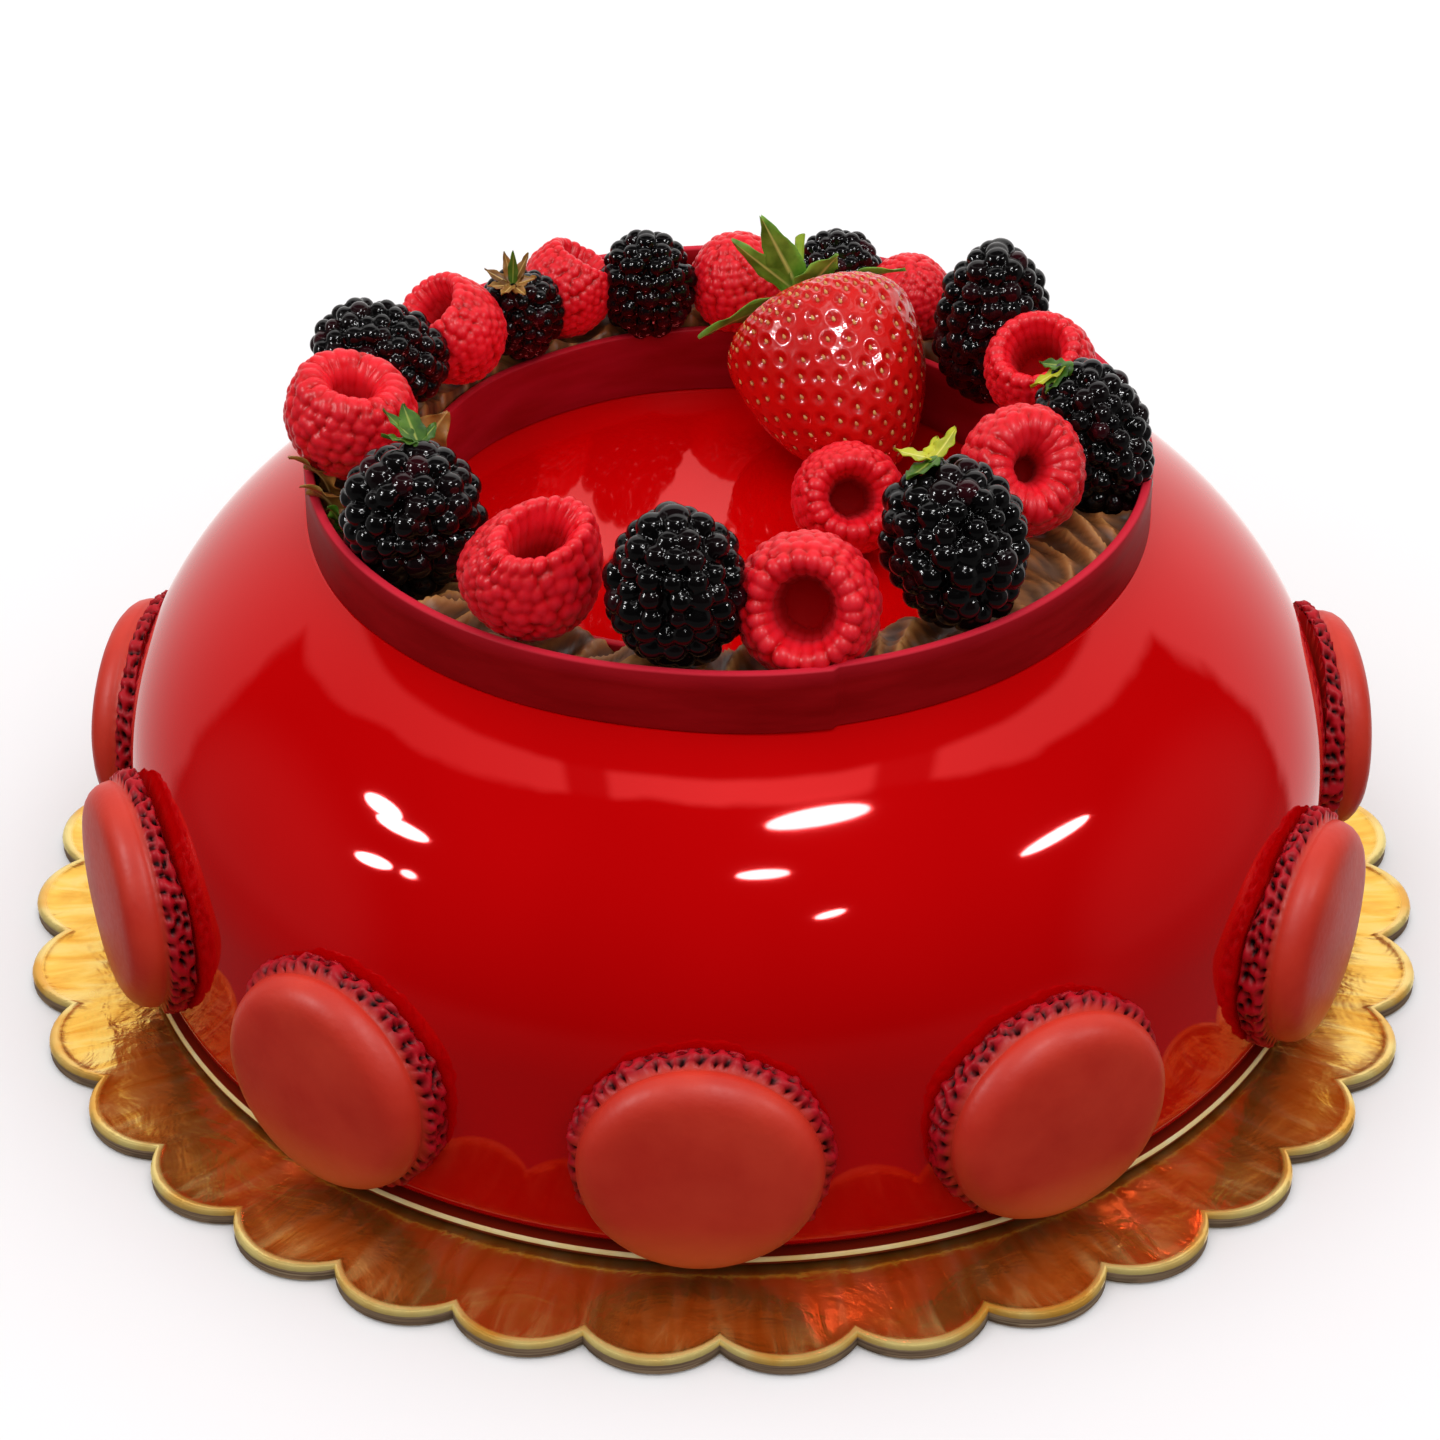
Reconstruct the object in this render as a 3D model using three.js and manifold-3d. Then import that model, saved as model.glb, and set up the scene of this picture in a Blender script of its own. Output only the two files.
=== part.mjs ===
// A round mirror-glazed berry cake with macaron shells on its scalloped gold board.
// Millimetres, +Z up. The origin is the middle of the board's underside.
import * as THREE from "three";
import { mergeVertices } from "three/addons/utils/BufferGeometryUtils.js";
import { ConvexHull } from "three/addons/math/ConvexHull.js";
import Module from "manifold-3d";

const wasm = await Module();
wasm.setup();

// ---- driving dimensions -------------------------------------------------------------------

const GAP = 0.3; // air left between pieces that rest on each other
const TURN = Math.PI * 2;

// The board's edge is a ring of round scallops between a circle of tips and one of notches.
const BOARD = { tip: 120, notch: 114.8, scallops: 34, firstNotch: 174.4, thick: 3, steps: 5 };

// The cake stands a little off the board's middle. Heights from here on are above the board's top.
const CAKE_PLACE = { x: 0.7, y: 4.2 };
const CARD = { radius: 102.2, thick: 1.3, segments: 48 };
const CARD_TOP = GAP + CARD.thick;

// An upright wall, then a dome that would reach its crown height if the bands did not cut it off.
const CAKE = {
  radius: 101.6,
  foot: 2.8,
  shoulder: 33.5,
  crown: 101,
  domeRise: 2.05,
  domeRound: 1.56,
  seat: 78.8,
  well: 70,
  segments: 52,
  domeSteps: 10,
};

// Two thin upright strips ring the top: one on the dome's edge, one down in the well.
const OUTER_BAND = { outer: 69.7, thick: 1.6, top: 89.5, wave: 0.25, lap: 0.8, seam: 13, segments: 64 };
const INNER_BAND = { outer: 53.2, thick: 1.6, top: 82.3, wave: 0.2, lap: 0, seam: 150, segments: 60 };
const LAP_SWEEP = 22; // degrees over which the strip's loose end sinks back to the ring
const SEAM_SLIVER = 0.2; // degrees taken by the step at the strip's loose end
const WAVE = { turns: 3, start: 40 }; // the top edge's slow rise and fall round the ring

// Piped cream fills the channel between the bands and is pressed down by the berries.
const CREAM = { base: 84.4, heap: 3.6, crown: 1.6, press: 0.9, least: 0.4, segments: 84, rows: 4 };
const CREAM_FOLDS = [
  { high: 1.1, turns: 26, slant: 5 },
  { high: 0.55, turns: 41, slant: -4 },
];
const CREAM_HEAPS = [
  { around: -95, spread: 34 },
  { around: 80, spread: 48 },
];

// Dried leaves rooted in the cream that arch over the outer band: their width, steepness in
// degrees at the root and droop at the tip.
const DRIED_ROOT = { out: 65.6, up: 85.5 };
const DRIED_LEAVES = [
  { around: -74.5, long: 10, wide: 5.5, steep: 80, droop: 6 },
  { around: -80.5, long: 11, wide: 4.5, steep: 82, droop: 6.5 },
];

// Macaron shells: one half shell each, its ruffled foot towards the cake.
const SHELL = { foot: 20.3, dome: 18.8, footHigh: 4.4, high: 11.3, ruffle: 0.4, segments: 16 };
const SHELL_TURN = 0.7; // radians from each shell's ruffles to the next one's
const SHELLS = [
  { around: -2.4, up: 22.8 },
  { around: 29, up: 22.7 },
  { around: 64.9, up: 22.7 },
  { around: 98, up: 25 },
  { around: 131, up: 23 },
  { around: 163.5, up: 23.6 },
  { around: 196, up: 22.8 },
  { around: 228, up: 23.2 },
  { around: 258, up: 22.7 },
  { around: 291, up: 25 },
  { around: 323.5, up: 23.4 },
];

// The strawberry leans its leafy end on the inner band and rests its tip in the well.
const STRAWBERRY = {
  place: [15.7, 33.8, 90.5],
  axis: [-0.365, 0.741, 0.559],
  radius: 16.4,
  tip: 27.5,
  cap: 7.4,
  dip: 0.6,
  tipTaper: 1.25,
  capTaper: 0.8,
  rings: 11,
  segments: 22,
};

const SHOULDER_ROUND = 2.6; // how squarely the leaves fold over the fruit's shoulder

// Leaves of the strawberry: direction round its axis, length, width, rise off the fruit and bend.
const STRAWBERRY_LEAVES = [
  { around: 104, long: 17, wide: 6.0, lift: 0.5, bend: 0.5 },
  { around: 127, long: 16, wide: 4.4, lift: 0.5, bend: 0.4 },
  { around: 172, long: 20, wide: 6.4, lift: 0.02, bend: -2.5 },
  { around: 208, long: 12, wide: 5, lift: 0.02, bend: -1 },
  { around: 48, long: 10.5, wide: 8.5, lift: 0.22, bend: -0.8 },
  { around: 8, long: 18, wide: 5.4, lift: 0.02, bend: -3.5 },
  { around: -28, long: 12, wide: 5, lift: 0.04, bend: -1 },
];
const LEAF = { thick: 0.6, steps: 4, ripple: 0.35, waves: 5, crease: 0.5, stub: 0.08 };
const LEAF_BELLY = { from: 0.12, sweep: 0.86, bias: 0.85 }; // where along it a leaf is widest
const STEM = { radius: 0.85, flare: 1.5, long: 9.5, lean: 0.35, sides: 7 };

// The fruit: place round the cake's axis (0 is the front, positive to the right), distance out,
// height of its middle above the dome's seat, size, and the direction of its stem end. Raspberries
// are open where the core was, and a shut one has its stem end turned down.
const RASPBERRIES = [
  { around: -84.5, out: 61.4, up: 18.6, wide: 21.8, long: 20, axis: [0.1, -0.15, 1] },
  { around: -122.5, out: 55, up: 14.8, wide: 18.4, long: 18.5, axis: [-0.5, -0.2, 0.85] },
  { around: -151.5, out: 59, up: 10.7, wide: 16.6, long: 17, axis: [0.5, 0.2, 0.85] },
  { around: 178, out: 55, up: 11, wide: 17.8, long: 18.5, axis: [0.2, 0.2, -1], shut: true },
  { around: 148, out: 59.5, up: 10.2, wide: 16, long: 16.5, axis: [0, 0.3, -1], shut: true },
  { around: 102.5, out: 53, up: 17.7, wide: 18.6, long: 18, axis: [-0.2, -0.5, 0.85] },
  { around: 63.8, out: 52, up: 18.7, wide: 21, long: 19.5, axis: [0.15, -0.75, 0.6] },
  { around: 83, out: 20, up: 1.2, wide: 19, long: 18, axis: [0.1, -0.8, 0.55] },
  { around: 12, out: 58, up: 15, wide: 23.2, long: 20.5, axis: [-0.1, -0.9, 0.42] },
  { around: -31, out: 59, up: 17.6, wide: 23.6, long: 22, axis: [0.25, 0.1, 0.95] },
];
const BRAMBLES = [
  { around: -106, out: 60, up: 17.6, wide: 18, long: 25, axis: [-0.8, -0.35, 0.35] },
  { around: -58.5, out: 58.5, up: 14.4, wide: 22, long: 25.5, axis: [0.1, 0.2, 1], sepals: 8.5 },
  { around: -139, out: 54.2, up: 11.8, wide: 14.6, long: 19, axis: [-0.1, -0.45, 0.85], sepals: 4.5 },
  { around: -165, out: 54, up: 12, wide: 16.4, long: 20.5, axis: [0, 0.1, -1] },
  { around: 162, out: 60, up: 10.6, wide: 15.4, long: 18, axis: [0.6, 0, 0.6] },
  { around: 122.5, out: 53, up: 17.4, wide: 20, long: 31, axis: [0, 0.15, -1] },
  { around: 81.5, out: 60, up: 15.8, wide: 18.8, long: 29, axis: [-0.35, 0.1, 0.9], sepals: 5 },
  { around: 36.7, out: 58.6, up: 19.7, wide: 22.2, long: 28, axis: [-0.25, 0.35, 0.9], sepals: 6.5 },
  { around: -7.8, out: 59, up: 19.6, wide: 21.2, long: 27, axis: [0, 0.05, -1] },
];
const numbered = (kind, list) => list.map((one, i) => ({ ...one, kind, name: `${kind}_${i + 1}` }));
const BERRIES = [...numbered("raspberry", RASPBERRIES), ...numbered("bramble", BRAMBLES)];
const BEADS = { raspberry: 34, bramble: 30 }; // drupelets on each kind of berry
const BEAD_DENT = { raspberry: 0.12, bramble: 0.17 }; // depth of the dents between them
const OPEN_END = { flatFrom: 0.66, flatten: 0.3 }; // the rim round a raspberry's hole is blunt
const CORE = { mouth: 0.42, depth: 0.62, flare: 1.15, taper: 0.6, round: 0.8, over: 1, sides: 8 };
const EGG = 0.1; // how much wider a berry is at its stem end
const SEPALS = { count: 5, lift: 0.12, sink: 0.5, wide: 0.24, turn: 0.3, steps: 2 };
const BUTTON = { top: 0.11, foot: 0.16, long: 0.3, middle: 0.37, sides: 6 };

// ---- materials ----------------------------------------------------------------------------

const finish = (color, roughness, metalness = 0) =>
  new THREE.MeshStandardMaterial({ color, roughness, metalness });

const gold = () => finish(0xe0b85c, 0.28, 1);
const glaze = () => finish(0xb00808, 0.06);
const chocolate = () => finish(0x7f1414, 0.4);
const cream = () => finish(0x9a5e3a, 0.6);
const macaron = () => finish(0xb5382c, 0.7);
const FRUIT = { raspberry: 0xdc2128, bramble: 0x1b1715, strawberry: 0xcb2f2a };
const leafGreen = () => finish(0x3f6b1c, 0.6);

// ---- small helpers ------------------------------------------------------------------------

const rad = THREE.MathUtils.degToRad;
const direction = (degrees) => new THREE.Vector2(Math.sin(rad(degrees)), -Math.cos(rad(degrees)));

/** Merges shared corners and drops triangles that have no area. */
function tidy(geometry) {
  geometry.deleteAttribute("normal");
  geometry.deleteAttribute("uv");
  const merged = mergeVertices(geometry, 1e-4);
  const from = merged.index.array;
  const kept = [];
  for (let i = 0; i < from.length; i += 3) {
    const [a, b, c] = [from[i], from[i + 1], from[i + 2]];
    if (a !== b && b !== c && c !== a) kept.push(a, b, c);
  }
  merged.setIndex(kept);
  return merged;
}

function geometryFrom(corners, triangles) {
  const geometry = new THREE.BufferGeometry();
  geometry.setAttribute("position", new THREE.Float32BufferAttribute(corners, 3));
  geometry.setIndex(triangles);
  return geometry;
}

function solidFrom(geometry) {
  return new wasm.Manifold(new wasm.Mesh({
    numProp: 3,
    vertProperties: new Float32Array(geometry.attributes.position.array),
    triVerts: new Uint32Array(geometry.index.array),
  }));
}

/** The largest piece of a solid, so that a cut leaves no loose scrap. */
function largest(solid) {
  const pieces = solid.decompose();
  return pieces.reduce((best, piece) => (piece.volume() > best.volume() ? piece : best));
}

function geometryOf(solid) {
  const { vertProperties, triVerts } = solid.getMesh();
  return geometryFrom(Array.from(vertProperties), Array.from(triVerts));
}

/** A closed body of revolution from [radius, height] pairs that start and end on the axis. */
function turned(profile, segments) {
  const points = profile.map(([radius, height]) => new THREE.Vector2(radius, height));
  const lathe = new THREE.LatheGeometry(points, segments);
  lathe.rotateX(Math.PI / 2);
  return tidy(lathe);
}

function named(name, geometry, material) {
  const mesh = new THREE.Mesh(geometry, material);
  mesh.name = name;
  return mesh;
}

// ---- board and card -----------------------------------------------------------------------

function scallopedOutline({ tip, notch, scallops, firstNotch, steps }) {
  const half = Math.PI / scallops;
  const halfChord = notch * Math.sin(half);
  const rise = tip - notch * Math.cos(half);
  const arc = (halfChord ** 2 + rise ** 2) / (2 * rise);
  const sweep = Math.asin(halfChord / arc);
  const points = [];
  for (let s = 0; s < scallops; s++) {
    const middle = rad(firstNotch) + (2 * s + 1) * half;
    for (let i = 0; i < steps; i++) {
      const turn = middle + sweep * ((2 * i) / steps - 1);
      const x = (tip - arc) * Math.cos(middle) + arc * Math.cos(turn);
      const y = (tip - arc) * Math.sin(middle) + arc * Math.sin(turn);
      points.push(new THREE.Vector2(x, y));
    }
  }
  return points;
}

function cakeBoard() {
  const shape = new THREE.Shape(scallopedOutline(BOARD));
  const plate = new THREE.ExtrudeGeometry(shape, { depth: BOARD.thick, bevelEnabled: false });
  return named("cake_board", tidy(plate), gold());
}

function cakeCard() {
  const profile = [[0, GAP], [CARD.radius, GAP], [CARD.radius, CARD_TOP], [0, CARD_TOP]];
  return named("cake_card", turned(profile, CARD.segments), gold());
}

// ---- glazed cake --------------------------------------------------------------------------

/** Radius of the dome at a height above the shoulder. */
function domeRadius(height) {
  const rise = (height - CAKE.shoulder) / (CAKE.crown - CAKE.shoulder);
  return CAKE.radius * (1 - rise ** CAKE.domeRise) ** (1 / CAKE.domeRound);
}

/** The rounded foot, the wall and the dome, up to the outer band. */
function flank(bottom) {
  const points = [
    [CAKE.radius - CAKE.foot, bottom],
    [CAKE.radius - CAKE.foot / 4, bottom + CAKE.foot * 0.6],
    [CAKE.radius, bottom + CAKE.foot * 1.6],
  ];
  for (let i = 0; i <= CAKE.domeSteps; i++) {
    const share = Math.sin((i / CAKE.domeSteps) * (Math.PI / 2));
    const height = CAKE.shoulder + (CAKE.seat - CAKE.shoulder) * share;
    points.push([domeRadius(height), height]);
  }
  return points;
}

function glazedCake() {
  const bottom = CARD_TOP + GAP;
  const well = INNER_BAND.outer + GAP;
  const profile = [[0, bottom], ...flank(bottom), [well, CAKE.seat], [well, CAKE.well], [0, CAKE.well]];
  return named("glazed_cake", turned(profile, CAKE.segments), glaze());
}

// ---- bands --------------------------------------------------------------------------------

/** Angles of a band's cross-sections, with a close pair where its loose end steps down. */
function bandAngles({ segments, seam, lap }) {
  const angles = [];
  for (let i = 0; i < segments; i++) angles.push(seam + (360 * i) / segments);
  if (lap > 0) angles.push(seam + 360 - SEAM_SLIVER);
  return angles;
}

function bandRing(band, foot, grow = 0) {
  const corners = [];
  const triangles = [];
  const angles = bandAngles(band);
  for (const angle of angles) {
    const back = seamDistance(band, angle);
    const lap = band.lap * Math.max(0, 1 - back / LAP_SWEEP);
    const rise = band.wave * Math.sin(rad(WAVE.turns * angle + WAVE.start));
    const out = direction(angle);
    const outer = band.outer + lap + grow;
    const inner = band.outer - band.thick - grow;
    for (const [radius, height] of [
      [inner, foot - grow],
      [outer, foot - grow],
      [outer, band.top + rise + grow],
      [inner, band.top + rise + grow],
    ]) corners.push(out.x * radius, out.y * radius, height);
  }
  for (let i = 0; i < angles.length; i++) {
    const here = i * 4;
    const next = ((i + 1) % angles.length) * 4;
    for (let k = 0; k < 4; k++) {
      const m = (k + 1) % 4;
      triangles.push(here + k, next + k, next + m, here + k, next + m, here + m);
    }
  }
  return geometryFrom(corners, triangles);
}

/** How many degrees an angle lies before the seam, going round to the left. */
function seamDistance({ seam }, angle) {
  return (((seam - angle) % 360) + 360) % 360;
}

const OUTER_FOOT = CAKE.seat + GAP;
const INNER_FOOT = CAKE.well + GAP;

// ---- berries ------------------------------------------------------------------------------

/** Evenly spread points on a sphere, one for each drupelet. */
function beadCentres(count) {
  const golden = Math.PI * (3 - Math.sqrt(5));
  return Array.from({ length: count }, (_, i) => {
    const height = 1 - (2 * (i + 0.5)) / count;
    const across = Math.sqrt(1 - height * height);
    return new THREE.Vector3(across * Math.cos(golden * i), across * Math.sin(golden * i), height);
  });
}

/** A point of the unit sphere moved onto the berry's egg shape, its stem end up. */
function onEgg(point, { wide, long, kind, shut }, scale) {
  const across = (wide / 2) * (1 + EGG * point.z) * scale;
  const over = Math.max(0, point.z - OPEN_END.flatFrom);
  const blunt = kind === "raspberry" && !shut;
  const height = blunt ? point.z - over * (1 - OPEN_END.flatten) : point.z;
  return [point.x * across, point.y * across, height * (long / 2) * scale];
}

/** A berry of raised drupelets: each is a low pyramid between the dents around it. */
function beadedEgg(berry) {
  const centres = beadCentres(BEADS[berry.kind]);
  const hull = new ConvexHull().setFromPoints(centres);
  const corners = centres.flatMap((point) => onEgg(point, berry, 1));
  const dents = new Map();
  for (const face of hull.faces) {
    const middle = new THREE.Vector3();
    for (let k = 0; k < 3; k++) middle.add(face.getEdge(k).head().point);
    dents.set(face, corners.length / 3);
    corners.push(...onEgg(middle.normalize(), berry, 1 - BEAD_DENT[berry.kind]));
  }
  const triangles = [];
  for (const face of hull.faces) {
    for (let k = 0; k < 3; k++) {
      const edge = face.getEdge(k);
      triangles.push(centres.indexOf(edge.tail().point), dents.get(edge.twin.face), dents.get(face));
    }
  }
  return geometryFrom(corners, triangles);
}

/** The tapered hole left in a raspberry by its core. */
function coreHole({ wide, long }) {
  const mouth = (CORE.mouth * wide) / 2;
  const top = long / 2 + CORE.over;
  const bottom = long * (0.5 - CORE.depth);
  const side = [[mouth * CORE.taper, bottom + CORE.round], [mouth * CORE.flare, top]];
  return turned([[0, bottom], ...side, [0, top]], CORE.sides);
}

/** A thin pointed leaf along +X, both faces with the same triangles, following a height rule. */
function leafGeometry({ long, wide, heightAt, steps = LEAF.steps, columns = [-1, 0, 1] }) {
  const corners = [];
  for (const side of [0, LEAF.thick]) {
    for (let i = 0; i <= steps; i++) {
      const share = i / steps;
      const along = share * long;
      const half = (wide / 2) * leafShare(share);
      const wave = LEAF.ripple * Math.sin(LEAF.waves * share * Math.PI);
      for (const across of columns) {
        const edge = Math.abs(across) * (LEAF.crease + wave * across);
        corners.push(along, across * half, heightAt(along) + side + edge);
      }
    }
  }
  return geometryFrom(corners, sheetTriangles(steps, columns.length - 1));
}

/** Share of a leaf's full width at a share of its length. */
function leafShare(share) {
  const turn = (LEAF_BELLY.from + LEAF_BELLY.sweep * share) ** LEAF_BELLY.bias;
  return Math.max(LEAF.stub, Math.sin(Math.PI * turn));
}

/** Triangles of a closed sheet: a grid of corners, then the same grid for its upper face. */
function sheetTriangles(rows, columns) {
  const across = columns + 1;
  const layer = (rows + 1) * across;
  const at = (side, i, j) => side * layer + i * across + j;
  const triangles = [];
  const quad = (a, b, c, d) => triangles.push(a, b, c, a, c, d);
  for (let i = 0; i < rows; i++) {
    for (let j = 0; j < columns; j++) {
      quad(at(0, i, j), at(0, i, j + 1), at(0, i + 1, j + 1), at(0, i + 1, j));
      const [a, b, c, d] = [at(1, i, j), at(1, i, j + 1), at(1, i + 1, j + 1), at(1, i + 1, j)];
      triangles.push(a, c, b, a, d, c);
    }
    quad(at(0, i, 0), at(0, i + 1, 0), at(1, i + 1, 0), at(1, i, 0));
    quad(at(0, i + 1, columns), at(0, i, columns), at(1, i, columns), at(1, i + 1, columns));
  }
  for (let j = 0; j < columns; j++) {
    quad(at(0, 0, j + 1), at(0, 0, j), at(1, 0, j), at(1, 0, j + 1));
    quad(at(0, rows, j), at(0, rows, j + 1), at(1, rows, j + 1), at(1, rows, j));
  }
  return triangles;
}

/** Small pointed sepals on a button at the stem end of a bramble, fused to it. */
function withSepals(solid, { wide, long, sepals }) {
  const { top, foot, middle, sides } = BUTTON;
  const button = new THREE.CylinderGeometry(wide * top, wide * foot, long * BUTTON.long, sides);
  button.rotateX(Math.PI / 2).translate(0, 0, long * middle);
  let whole = solid.add(solidFrom(tidy(button)));
  for (let i = 0; i < SEPALS.count; i++) {
    const heightAt = (along) => long / 2 - SEPALS.sink + along * SEPALS.lift;
    const size = { long: sepals, wide: wide * SEPALS.wide, steps: SEPALS.steps };
    const leaf = leafGeometry({ ...size, heightAt, columns: [-1, 1] });
    leaf.rotateZ((TURN * (i + SEPALS.turn)) / SEPALS.count);
    whole = whole.add(solidFrom(leaf));
  }
  return whole;
}

const UP = new THREE.Vector3(0, 0, 1);

function berryMatrix({ around, out, up, axis }) {
  const place = direction(around).multiplyScalar(out);
  const turn = new THREE.Quaternion().setFromUnitVectors(UP, new THREE.Vector3(...axis).normalize());
  const middle = new THREE.Vector3(place.x, place.y, CAKE.seat + up);
  return new THREE.Matrix4().compose(middle, turn, new THREE.Vector3(1, 1, 1));
}

/** A piece grown a little from its middle, seen in another piece's frame. */
function neighbourCutter({ geometry, radius, matrix }, into) {
  const grow = 1 + (GAP * 1.3) / radius;
  const moved = geometry.clone().scale(grow, grow, grow);
  moved.applyMatrix4(into.clone().multiply(matrix));
  return solidFrom(moved);
}

function berrySolid(berry, egg) {
  const whole = solidFrom(egg);
  if (berry.kind === "raspberry") return berry.shut ? whole : whole.subtract(solidFrom(coreHole(berry)));
  return berry.sepals ? withSepals(whole, berry) : whole;
}

/** Berries in order: each gives way to the bands and to the fruit that was placed before it. */
function placeBerries(bandCutters, strawberry) {
  const fruitSoFar = [strawberry];
  for (const berry of BERRIES) {
    const geometry = beadedEgg(berry);
    const matrix = berryMatrix(berry);
    const toLocal = matrix.clone().invert();
    let solid = berrySolid(berry, geometry);
    for (const band of bandCutters) {
      solid = solid.subtract(solidFrom(band.clone().applyMatrix4(toLocal)));
    }
    for (const other of fruitSoFar.filter((one) => nearEnough(one, matrix, berry))) {
      solid = solid.subtract(neighbourCutter(other, toLocal));
    }
    const body = named(berry.name, geometryOf(largest(solid)), finish(FRUIT[berry.kind], 0.35));
    const mesh = placedAt(body, matrix);
    fruitSoFar.push({ mesh, geometry, radius: berry.wide / 2, reach: berry.long / 2, matrix, berry });
  }
  return fruitSoFar.slice(1);
}

function nearEnough(one, matrix, { wide, long }) {
  const here = new THREE.Vector3().setFromMatrixPosition(matrix);
  const there = new THREE.Vector3().setFromMatrixPosition(one.matrix);
  return here.distanceTo(there) < Math.max(one.radius, one.reach) + Math.max(wide, long) / 2 + 1;
}

// ---- strawberry ---------------------------------------------------------------------------

/** Height of the strawberry's shoulder above its widest ring, at a distance from its axis. */
function shoulderHeight(across) {
  const share = Math.min(1, across / STRAWBERRY.radius);
  return STRAWBERRY.cap * (1 - share ** 2) ** (1 / SHOULDER_ROUND);
}

function strawberryProfile() {
  const { radius, tip, cap, dip, tipTaper, capTaper, rings } = STRAWBERRY;
  const profile = [[0, -tip]];
  for (let i = 1; i < rings; i++) {
    const angle = (Math.PI * i) / rings;
    const height = -Math.cos(angle);
    const reach = height < 0 ? tip : cap;
    const across = radius * Math.sin(angle) ** (height < 0 ? tipTaper : capTaper);
    profile.push([across, height * reach]);
  }
  profile.push([0, cap - dip]);
  return profile;
}

/** The strawberry's frame: sideways to the right, back and down, and towards its stem. */
function strawberryMatrix() {
  const { place, axis } = STRAWBERRY;
  const stemwards = new THREE.Vector3(...axis).normalize();
  const sideways = new THREE.Vector3(1, 0, 0).addScaledVector(stemwards, -stemwards.x).normalize();
  const backwards = new THREE.Vector3().crossVectors(stemwards, sideways);
  return new THREE.Matrix4().makeBasis(sideways, backwards, stemwards).setPosition(...place);
}

function placedAt(mesh, matrix) {
  matrix.decompose(mesh.position, mesh.quaternion, mesh.scale);
  return mesh;
}

function stemSolid() {
  const { radius, flare, long, lean, sides } = STEM;
  const stem = new THREE.CylinderGeometry(radius, radius * flare, long, sides, 2);
  stem.rotateX(Math.PI / 2).translate(0, 0, STRAWBERRY.cap + GAP + long / 2);
  const spot = stem.attributes.position;
  for (let i = 0; i < spot.count; i++) {
    const rise = (spot.getZ(i) - STRAWBERRY.cap) / long;
    spot.setY(i, spot.getY(i) - lean * long * rise ** 2);
  }
  return solidFrom(tidy(stem));
}

/** Height rule of a strawberry leaf: it rises or droops, but stays just off the fruit. */
function strawberryLeafHeight({ long, lift, bend }) {
  const clear = GAP * 1.6;
  const spring = 0.4; // how far a drooping tip stands off the fruit
  return (along) => {
    const share = along / long;
    const free = STRAWBERRY.cap + clear + lift * along + bend * share ** 2;
    return Math.max(free, shoulderHeight(along) + clear + spring * share);
  };
}

function strawberryHull(matrix, berries) {
  let hull = stemSolid();
  for (const leaf of STRAWBERRY_LEAVES) {
    const geometry = leafGeometry({ ...leaf, heightAt: strawberryLeafHeight(leaf) });
    hull = hull.add(solidFrom(geometry.rotateZ(-rad(leaf.around))));
  }
  const toLocal = matrix.clone().invert();
  for (const berry of berries) hull = hull.subtract(neighbourCutter(berry, toLocal));
  return placedAt(named("strawberry_hull", geometryOf(largest(hull)), leafGreen()), matrix);
}

// ---- piped cream --------------------------------------------------------------------------

/** Height of a berry's lower side above a point of the board, or nothing beside the berry. */
function underside({ matrix, berry }, x, y) {
  const middle = new THREE.Vector3().setFromMatrixPosition(matrix);
  const axis = new THREE.Vector3().setFromMatrixColumn(matrix, 2);
  const dx = x - middle.x;
  const dy = y - middle.y;
  const across = 1 / ((berry.wide / 2) * (1 + EGG)) ** 2;
  const along = 1 / (berry.long / 2) ** 2 - across;
  const lean = axis.x * dx + axis.y * dy;
  const a = across + along * axis.z ** 2;
  const b = 2 * along * axis.z * lean;
  const c = across * (dx * dx + dy * dy) + along * lean ** 2 - 1;
  const inside = b * b - 4 * a * c;
  return inside < 0 ? Infinity : middle.z - (b + Math.sqrt(inside)) / (2 * a);
}

function creamLevel(angle, share) {
  let level = CREAM.base;
  for (const { around, spread } of CREAM_HEAPS) {
    const off = ((((angle - around) % 360) + 540) % 360) - 180;
    level += CREAM.heap * Math.exp(-((off / spread) ** 2));
  }
  for (const { high, turns, slant } of CREAM_FOLDS) {
    level += high * Math.sin(rad(turns * angle) + slant * share);
  }
  return level - CREAM.crown * (2 * share - 1) ** 4;
}

/** A ring of cream whose top is folded where it is free and pressed flat under the berries. */
function creamRing(berries) {
  const inner = INNER_BAND.outer + GAP * 1.4;
  const outer = OUTER_BAND.outer - OUTER_BAND.thick - GAP * 1.4;
  const corners = [];
  for (let i = 0; i < CREAM.segments; i++) {
    const angle = (360 * i) / CREAM.segments;
    const out = direction(angle);
    for (const radius of [inner, outer]) corners.push(out.x * radius, out.y * radius, OUTER_FOOT);
    for (let j = 0; j <= CREAM.rows; j++) {
      const share = j / CREAM.rows;
      const radius = inner + (outer - inner) * share;
      const [x, y] = [out.x * radius, out.y * radius];
      const pressed = Math.min(...berries.map((one) => underside(one, x, y) - CREAM.press));
      corners.push(x, y, Math.max(OUTER_FOOT + CREAM.least, Math.min(creamLevel(angle, share), pressed)));
    }
  }
  return geometryFrom(corners, creamTriangles());
}

function driedLeaf({ around, long, wide, steep, droop }) {
  const leaf = leafGeometry({ long, wide, heightAt: (along) => -droop * (along / long) ** 2 });
  leaf.rotateY(-rad(steep)).translate(DRIED_ROOT.out, 0, DRIED_ROOT.up);
  return solidFrom(leaf.rotateZ(rad(around) - Math.PI / 2));
}

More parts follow.
